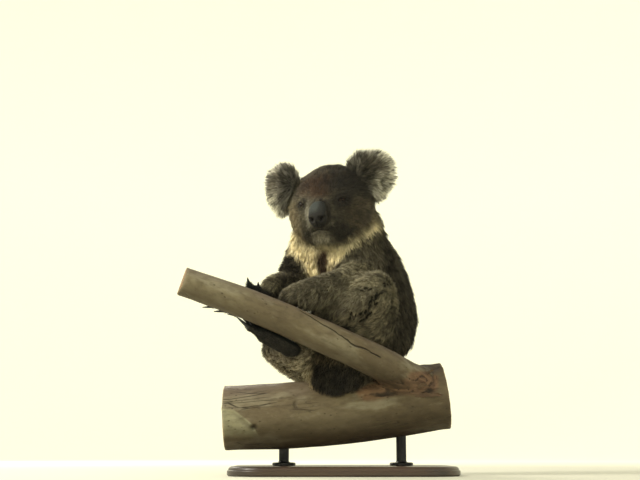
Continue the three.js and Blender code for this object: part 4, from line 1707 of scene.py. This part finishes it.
def build_perch(material):
    """Limb and bough grown together at the fork, with swellings, scars and sawn ends."""
    mesh = fused(["perch_limb", "perch_bough"], 0.0002, PERCH_VOXEL)
    points, edges, faces = points_of(mesh), edges_of(mesh), faces_of(mesh)
    cut, ring, split, pinned = sawn_marks(points, normals_of(points, faces))
    rounded = spread(points, edges, 60, 0.6 * (1 - pinned))
    normals = normals_of(rounded, faces)
    lost = ((points - rounded) * normals).sum(1)
    free = rise(1 - pinned, 0.6, 1.0)
    lost = spread(lost * free, edges, 60) / np.maximum(spread(free, edges, 60), 0.05)
    points = rounded + normals * (lost * (1 - pinned))[:, None]
    move(mesh, points)
    finer(mesh, near_bark_marks, 2)
    before, points = len(points), points_of(mesh)
    cut, ring, split, pinned = (np.pad(m, (0, len(points) - before)) for m in (cut, ring, split, pinned))
    edges, faces = edges_of(mesh), faces_of(mesh)
    near_fork = fall(far_from(points, FORK), 0.05, 0.11)
    points = spread(points, edges, 30, 0.6 * near_fork * (1 - pinned))
    normals = normals_of(points, faces)
    grain = grain_of(points)
    wave = 0.0014 * noise(grain * (0.4, 1, 1), 0.045, 1) + 0.0005 * noise(grain * (0.3, 1, 1), 0.014, 2)
    crack = np.abs(noise(grain * (0.10, 1, 1), 0.013, 3))
    deep = rise(noise(grain * (0.6, 1, 1), 0.06, 4), 0.34, 0.55) * fall(crack, 0.02, 0.06)
    wobbling = points + (0.0022 * noise(grain, 0.022, 8) + 0.0007 * noise(grain, 0.006, 14))[:, None]
    gape = 0.5 + 0.7 * rise(noise(grain * (1, 0.3, 0.3), 0.035, 15), -0.5, 0.5)
    long_crack = along_line(wobbling, BOUGH_CRACK)
    deep = np.maximum(deep, fall(long_crack / gape, 0.8, 1.7))
    torn = fall(along_line(points, TORN_BARK) + 9 * noise(grain * (0.4, 1, 1), 0.02, 16), 14, 24)
    rags = noise(grain * (0.16, 1, 1), 0.009, 17)
    deep = np.maximum(deep, torn * fall(np.abs(rags - 0.1), 0.02, 0.09) * rise(rags, -0.2, 0.1))
    collar = near_fork * 0.0016 * noise(points, 0.016, 5) + 0.0016 * torn * rags
    ridge = hill(along_line(points, KNOT_RIDGE), 0, 5.0)
    height = (wave + collar - 0.0012 * deep) * (1 - pinned) + 0.0022 * ridge
    for spot, size, lift in ((KNOT, 0.013, 0.004), ((-60, -140, 275), 0.010, 0.0025)):
        away = far_from(points, spot)
        height += lift * (hill(away, 0, size) - 1.5 * hill(away, 0, size / 2.6))
    points = points + normals * height[:, None]
    normals = normals_of(points, faces)
    move(mesh, points)
    planned = planned_of(points)
    knot = hill(far_from(points, KNOT), 0, 0.0055)
    # Painted shadow just under the knot's curved ridge, laid into the crack mask.
    shaded = hill(along_line(points + (0, 0, 0.007), KNOT_RIDGE), 0, 4.0)
    wander = 5 * noise(grain, 0.03, 9)
    edge = np.interp(planned[:, 0], (-190, -168, -150, -136, -120), (128, 124, 110, 98, 70))
    below_ridge = rise(edge - planned[:, 2] + 0.4 * wander, 0, 5) * rise(planned[:, 2], 72, 84)
    below_ridge *= rise(-normals[:, 1], 0.2, 0.7) * (planned[:, 2] < 150)
    far_end = fall(grain[:, 0] + 0.004 * wander, 0.06, 0.14)
    on_bough = planned[:, 2] > 190
    masks = {
        "cut": cut,
        "ring": ring,
        "split": split,
        "crack": np.clip(deep + 0.9 * knot + 0.35 * shaded, 0, 1) * (1 - cut),
        "torn": torn * (1 - cut),
        # Painted shade: the under mask darkens the branches' undersides.
        "under": rise(-normals[:, 2], -0.1, 0.8),
        "upper": rise(normals[:, 2] + 0.03 * wander, 0.25, 0.9),
        "fair": np.clip(0.85 * below_ridge + 0.12 * far_end * on_bough, 0, 1),
    }
    set_masks(mesh, {**masks, **grain_masks(points)})
    show("perch", mesh, material, ["perch_limb", "perch_bough"])
    # The sawn ends are shaded flat against the bark.
    mesh.polygons.foreach_set("use_smooth", cut[faces_of(mesh)].min(1) <= 0.5)


# Each strip: where it holds on, as X along the limb and degrees round from its top, then its
# length, width, lift and turn.
STRIPS = (
    (74, -46, 66, 9, 6, 8),
    (100, -62, 70, 11, 7, -6),
    (138, -50, 46, 8, 6, 8),
    (146, -80, 50, 9, 5, -4),
    (40, 122, 74, 13, 9, -8),
)


def build_strips(material):
    """Loose strips of old bark that peel from the limb by the fork, each a thin ragged curled solid."""
    tree = perch_tree()
    all_points, all_faces, start = [], [], 0
    rows, columns = 44, 9
    for number, (x, angle, length, width, lift, turn) in enumerate(STRIPS):
        centre = np.array(place(x, 10, 114 + 0.1 * (x + 72)))
        around = math.radians(angle)
        upper, lower = [], []
        for row in range(rows):
            share = row / (rows - 1)
            taper = min(1.0, 0.15 + 5 * share) * (1 - share**4) ** 0.5
            frays = [math.sin(k * share + 2.1 * number + side) for side, k in enumerate((23.0, 31.0))]
            for column in range(columns):
                across = 2 * column / (columns - 1) - 1
                half = width / 2 * max(taper * (0.82 + 0.18 * frays[across > 0]), 0.03)
                here = around + (across * half + turn * share**2) / 60
                way = np.array((0.0, math.sin(here), math.cos(here)))
                ahead = centre + np.array((share * length * MM, 0, 0.1 * share * length * MM))
                spot, _, _, _ = tree.find_nearest(ahead + way * 0.062)
                curl = 1.5 * across**2 * share * half * 0.5
                ripple = 0.5 * math.sin(17 * share + 3 * across + number)
                height = 0.1 + lift * share**1.7 + curl + ripple * share
                thick = 0.5 + 0.7 * (1 - abs(across))
                upper.append(np.array(spot) + way * (height + thick) * MM)
                lower.append(np.array(spot) + way * height * MM)
        count = rows * columns
        sheet = grid_faces(rows, columns, False)
        faces = sheet + [(a + count, c + count, b + count) for a, b, c in sheet]
        rim = [row * columns for row in range(rows)]
        rim += [(rows - 1) * columns + column for column in range(1, columns)]
        rim += [row * columns + columns - 1 for row in range(rows - 2, -1, -1)]
        rim += [column for column in range(columns - 2, 0, -1)]
        for one, two in zip(rim, rim[1:] + rim[:1]):
            faces += [(one, one + count, two + count), (one, two + count, two)]
        all_points += upper + lower
        all_faces += [(a + start, b + start, c + start) for a, b, c in faces]
        start += 2 * count
    points = np.array(all_points)
    mesh = mesh_from("bark_strips", points, all_faces)
    set_masks(mesh, grain_masks(points))
    cleaned(mesh)
    show("bark_strips", mesh, material)


# ---- Stand ----


def turned_outline(outline, around, middle):
    """Rows of points: an outline of reaches and heights, turned round an upright axis."""
    points = []
    for reach, height in outline:
        for step in range(around):
            turn = 2 * math.pi * step / around
            points.append((reach * math.cos(turn), reach * math.sin(turn), height))
    return np.array(points) + np.array(middle)


def build_base(material):
    """A flat board with round corners, a small step and a rounded upper edge."""
    low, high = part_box("stand_base")
    middle = (low + high) / 2
    half_x, half_y = (high.x - low.x) / 2, (high.y - low.y) / 2
    height = high.z - low.z
    corner = 0.070
    profile = [(0.0025, 0.0), (0.0, 0.0025), (0.0, 0.0085), (0.0004, 0.0092), (0.0016, 0.0096)]
    for step in range(9):
        turn = math.radians(90 * step / 8)
        profile.append((0.0022 + 0.006 * (1 - math.cos(turn)), 0.0098 + (height - 0.0098) * math.sin(turn)))
    around = 96
    rows = []
    for inset, up in [*profile, (0.05, height)]:
        row = []
        for step in range(around):
            turn = 2 * math.pi * (step + 0.5) / around
            radius = max(corner - inset, 0.004)
            x = math.copysign(half_x - corner, math.cos(turn)) + radius * math.cos(turn)
            y = math.copysign(half_y - corner, math.sin(turn)) + radius * math.sin(turn)
            row.append((middle.x + x, middle.y + y, low.z + up))
        rows += row
    count = len(profile) + 1
    faces = grid_faces(count, around, True)
    points = [*rows, (middle.x, middle.y, low.z + height), (middle.x, middle.y, low.z)]
    top, foot = count * around, count * around + 1
    last = (count - 1) * around
    for step in range(around):
        following = (step + 1) % around
        faces.append((last + step, last + following, top))
        faces.append((following, step, foot))
    mesh = mesh_from("stand_board", points, faces)
    mesh.set_sharp_from_angle(angle=math.radians(28))
    show("stand_board", mesh, material, ["stand_base"])


def build_rods(material):
    """Two short rods, each with a collar on the board and a flat top under the limb."""
    for side in SIDES:
        low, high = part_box("stand_rod_" + side)
        middle = (low + high) / 2
        radius = (high.x - low.x) / 2
        top = high.z - low.z
        outline = [(0.0, 0.0), (0.020, 0.0), (0.0208, 0.0008), (0.0208, 0.0042), (0.0196, 0.0054)]
        outline += [(radius + 0.0022, 0.0058), (radius + 0.0006, 0.0072), (radius, 0.0092)]
        outline += [(radius, top * 0.25), (radius, top * 0.5), (radius, top), (0.0, top)]
        around = 48
        points = turned_outline(outline, around, (middle.x, middle.y, low.z))
        mesh = mesh_from("stand_post_" + side, points, grid_faces(len(outline), around, True))
        cleaned(mesh, 1e-6)
        mesh.set_sharp_from_angle(angle=math.radians(30))
        show("stand_post_" + side, mesh, material, ["stand_rod_" + side])


# ---- Stage ----


FLOOR_REACH, BEND, WALL_TOP = 3.2, 1.6, 3.4
# The floor lies this far under the base, so that the two don't meet.
FLOOR_GAP = 0.0002
LAMP_AIM = Vector((0.0, 0.0, 0.35))
WARM_LIGHT, COOL_LIGHT = (1.0, 0.95, 0.84), (0.92, 0.96, 1.0)
# The camera looks slightly upwards at this planned place, from this many metres away.
CAMERA_AIM = (-18.5, 0, 435)
CAMERA_AWAY = 2.0
CAMERA_UPWARD = math.radians(11)
CAMERA_LENS = 60.81


def aimed(name, data, spot, heading):
    """A lamp or camera at a spot, looking along a heading."""
    holder = linked(name, data)
    holder.location = spot
    holder.rotation_mode = "QUATERNION"
    holder.rotation_quaternion = heading.to_track_quat("-Z", "Y")
    return holder


def lamp(name, spot, size, power, colour):
    """A round soft lamp that lights the model."""
    light = bpy.data.lights.new(name, "AREA")
    light.shape, light.size, light.energy, light.color = "DISK", size, power, colour
    aimed(name, light, spot, LAMP_AIM - Vector(spot))


def build_stage(colour, key, fill):
    """A pale floor that curves up into a backdrop all round, soft lamps, and the camera."""
    scene = bpy.context.scene
    outline = [(0.01, 0.0), (1.0, 0.0), (FLOOR_REACH, 0.0)]
    for step in range(1, 17):
        turn = math.radians(90 * step / 16)
        outline.append((FLOOR_REACH + BEND * math.sin(turn), BEND * (1 - math.cos(turn))))
    outline.append((FLOOR_REACH + BEND, WALL_TOP))
    around = 96
    faces = grid_faces(len(outline), around, True)
    faces += [(0, step + 1, step) for step in range(1, around - 1)]
    points = turned_outline(outline, around, (0, 0, -FLOOR_GAP))
    floor = linked("studio_paper", mesh_from("studio_paper", points, faces))
    floor.data.materials.append(stage_material(colour))
    lamp("key_lamp", (-2.2, -0.9, 1.9), 0.9, key, WARM_LIGHT)
    lamp("fill_lamp", (1.8, -1.9, 0.9), 1.8, fill, COOL_LIGHT)
    lamp("rim_lamp", (-0.9, 2.0, 1.7), 1.2, key * 0.5, WARM_LIGHT)
    world = bpy.data.worlds.new("Studio")
    world.use_nodes = True
    background = world.node_tree.nodes["Background"]
    background.inputs[0].default_value = (1.0, 0.98, 0.92, 1.0)
    background.inputs[1].default_value = 0.45
    scene.world = world
    scene.view_settings.view_transform = "Standard"

    camera = bpy.data.cameras.new("camera")
    camera.sensor_width = 36.0
    camera.lens = CAMERA_LENS
    camera.clip_start, camera.clip_end = 0.05, 50.0
    heading = Vector((0.0, math.cos(CAMERA_UPWARD), math.sin(CAMERA_UPWARD)))
    scene.camera = aimed("camera", camera, place(*CAMERA_AIM) - heading * CAMERA_AWAY, heading)


# ---- Settings and operators ----


def colour_of(title, description, default):
    """A colour that a user may change."""
    return FloatVectorProperty(
        name=title, description=description, default=default, size=3, min=0.0, max=1.0, subtype="COLOR"
    )


class KoalaColours(bpy.types.PropertyGroup):
    """The colours of the animal."""

    # The dark colour also lays painted shade, the pale one painted light on the legs, and the white one a
    # painted highlight beside the nose.
    grey: colour_of("Grey", "Main colour of the coat", FUR_COLOURS["grey"])
    pale: colour_of("Pale", "Limbs and haunches", FUR_COLOURS["pale"])
    tan: colour_of("Tan", "Rump and undersides", FUR_COLOURS["tan"])
    brown: colour_of("Brown", "Brow and the streak on the chest", FUR_COLOURS["brown"])
    ear: colour_of("Ear", "Inside and base of the ears", FUR_COLOURS["ear"])
    dark: colour_of("Dark", "Back and shoulder", FUR_COLOURS["dark"])
    paw: colour_of("Paw", "Hands and feet", FUR_COLOURS["paw"])
    cream: colour_of("Cream", "Throat and chest", FUR_COLOURS["cream"])
    white: colour_of("White", "Chin and the fringe of the ears", FUR_COLOURS["white"])
    nose: colour_of("Nose", "Leather of the nose", (0.014, 0.013, 0.012))
    pads: colour_of("Pads", "Soles and bare digits", (0.012, 0.014, 0.014))
    iris: colour_of("Iris", "Brown of the eyes", (0.009, 0.005, 0.003))


class KoalaSizes(bpy.types.PropertyGroup):
    """The sizes of coat and face."""

    coat_length: FloatProperty(
        name="Coat length",
        description="Length of every lock against a winter coat",
        default=1.0,
        min=0.3,
        max=1.3,
    )
    coat_density: FloatProperty(
        name="Coat density",
        description="Number of locks against a full coat",
        default=1.0,
        min=0.1,
        max=1.2,
    )
    lid_opening: FloatProperty(
        name="Lid opening",
        description="Height of each eye's opening, in millimetres",
        default=4.8,
        min=1.0,
        max=10.0,
    )


class KoalaStage(bpy.types.PropertyGroup):
    """The studio round the model."""

    paper: colour_of("Paper", "Floor and backdrop", (0.86, 0.85, 0.70))
    key_power: FloatProperty(
        name="Key lamp", description="Power of the main soft lamp", default=78.0, min=0.0, unit="POWER"
    )
    fill_power: FloatProperty(
        name="Fill lamp", description="Power of the weaker soft lamp", default=6.0, min=0.0, unit="POWER"
    )


def palette(scene):
    """The fur colours that the settings hold."""
    return {name: tuple(getattr(scene.koala_colours, name)) for name in FUR_COLOURS}


class KOALA_OT_skin(bpy.types.Operator):
    """Build the one skin that lies under the coat"""

    bl_idname = "koala.skin"
    bl_label = "Skin"

    def execute(self, context):
        colours = context.scene.koala_colours
        skin = build_skin(context.scene.koala_sizes.lid_opening)
        skin["marks"] = markings_of(skin)
        bare_of(skin, perch_tree())
        mesh = skin["mesh"]
        set_masks(mesh, {mask: skin[mask] for mask in ("nose", "pits", "mouth", "lid_dark", "pads")})
        set_masks(mesh, {"nose_top": painted_nose_highlight(skin), **skin["marks"]})
        shade_smooth(mesh)
        mesh.name = "skin"
        material = skin_material(palette(context.scene), tuple(colours.nose), tuple(colours.pads))
        show("skin", mesh, material, FLESH)
        WORK["skin"] = skin
        return {"FINISHED"}


class KOALA_OT_coat(bpy.types.Operator):
    """Grow the coat on the skin, in locks"""

    bl_idname = "koala.coat"
    bl_label = "Coat"

    def execute(self, context):
        if "skin" not in WORK:
            raise RuntimeError("build the skin before the coat")
        sizes = context.scene.koala_sizes
        density = sizes.coat_density * 1.0
        grow_coat(WORK["skin"], density, sizes.coat_length, coat_material(palette(context.scene)))
        return {"FINISHED"}


class KOALA_OT_eyes(bpy.types.Operator):
    """Build both eyes"""

    bl_idname = "koala.eyes"
    bl_label = "Eyes"

    def execute(self, context):
        material = eye_material(tuple(context.scene.koala_colours.iris))
        for side in SIDES:
            eyeball("eyeball_" + side, side, material)
        return {"FINISHED"}


class KOALA_OT_claws(bpy.types.Operator):
    """Build all the claws"""

    bl_idname = "koala.claws"
    bl_label = "Claws"

    def execute(self, context):
        build_claws(horn_material())
        return {"FINISHED"}


class KOALA_OT_perch(bpy.types.Operator):
    """Build the cut length of limb and bough, with its loose bark"""

    bl_idname = "koala.perch"
    bl_label = "Perch"

    def execute(self, context):
        clean = (
            (0.160, 0.129, 0.077),
            (0.096, 0.070, 0.039),
            (0.270, 0.240, 0.165),
            (0.140, 0.105, 0.080),
            (0.330, 0.315, 0.200),
        )
        build_perch(bark_material("Gum bark", clean, (0.055, 0.040, 0.025)))
        old = (
            (0.075, 0.044, 0.025),
            (0.110, 0.069, 0.040),
            (0.150, 0.108, 0.066),
            (0.085, 0.054, 0.034),
            (0.150, 0.108, 0.066),
        )
        build_strips(bark_material("Loose bark", old, (0.040, 0.022, 0.012)))
        return {"FINISHED"}


class KOALA_OT_stand(bpy.types.Operator):
    """Build the display stand"""

    bl_idname = "koala.stand"
    bl_label = "Stand"

    def execute(self, context):
        build_base(timber_material())
        build_rods(steel_material())
        return {"FINISHED"}


class KOALA_OT_stage(bpy.types.Operator):
    """Set the floor, the backdrop, the lamps and the camera"""

    bl_idname = "koala.stage"
    bl_label = "Stage"

    def execute(self, context):
        stage = context.scene.koala_stage
        build_stage(tuple(stage.paper), stage.key_power, stage.fill_power)
        return {"FINISHED"}


OPERATORS = (
    KOALA_OT_skin,
    KOALA_OT_coat,
    KOALA_OT_eyes,
    KOALA_OT_claws,
    KOALA_OT_perch,
    KOALA_OT_stand,
    KOALA_OT_stage,
)
GROUPS = {"koala_colours": KoalaColours, "koala_sizes": KoalaSizes, "koala_stage": KoalaStage}


class KOALA_PT_panel(bpy.types.Panel):
    """Settings and steps of the koala"""

    bl_label = "Koala"
    bl_idname = "KOALA_PT_panel"
    bl_space_type = "VIEW_3D"
    bl_region_type = "UI"
    bl_category = "Koala"

    def draw(self, context):
        for name, group in GROUPS.items():
            box = self.layout.box()
            settings = getattr(context.scene, name)
            for key in group.__annotations__:
                box.prop(settings, key)
        for operator in OPERATORS:
            self.layout.operator(operator.bl_idname)


CLASSES = (*GROUPS.values(), *OPERATORS, KOALA_PT_panel)


def register():
    for item in CLASSES:
        bpy.utils.register_class(item)
    for name, group in GROUPS.items():
        setattr(bpy.types.Scene, name, PointerProperty(type=group))


def unregister():
    for name in GROUPS:
        delattr(bpy.types.Scene, name)
    for item in reversed(CLASSES):
        bpy.utils.unregister_class(item)


def main():
    register()
    for operator in OPERATORS:
        getattr(bpy.ops.koala, operator.bl_idname.split(".")[1])()
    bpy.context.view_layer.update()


if __name__ == "__main__":
    main()
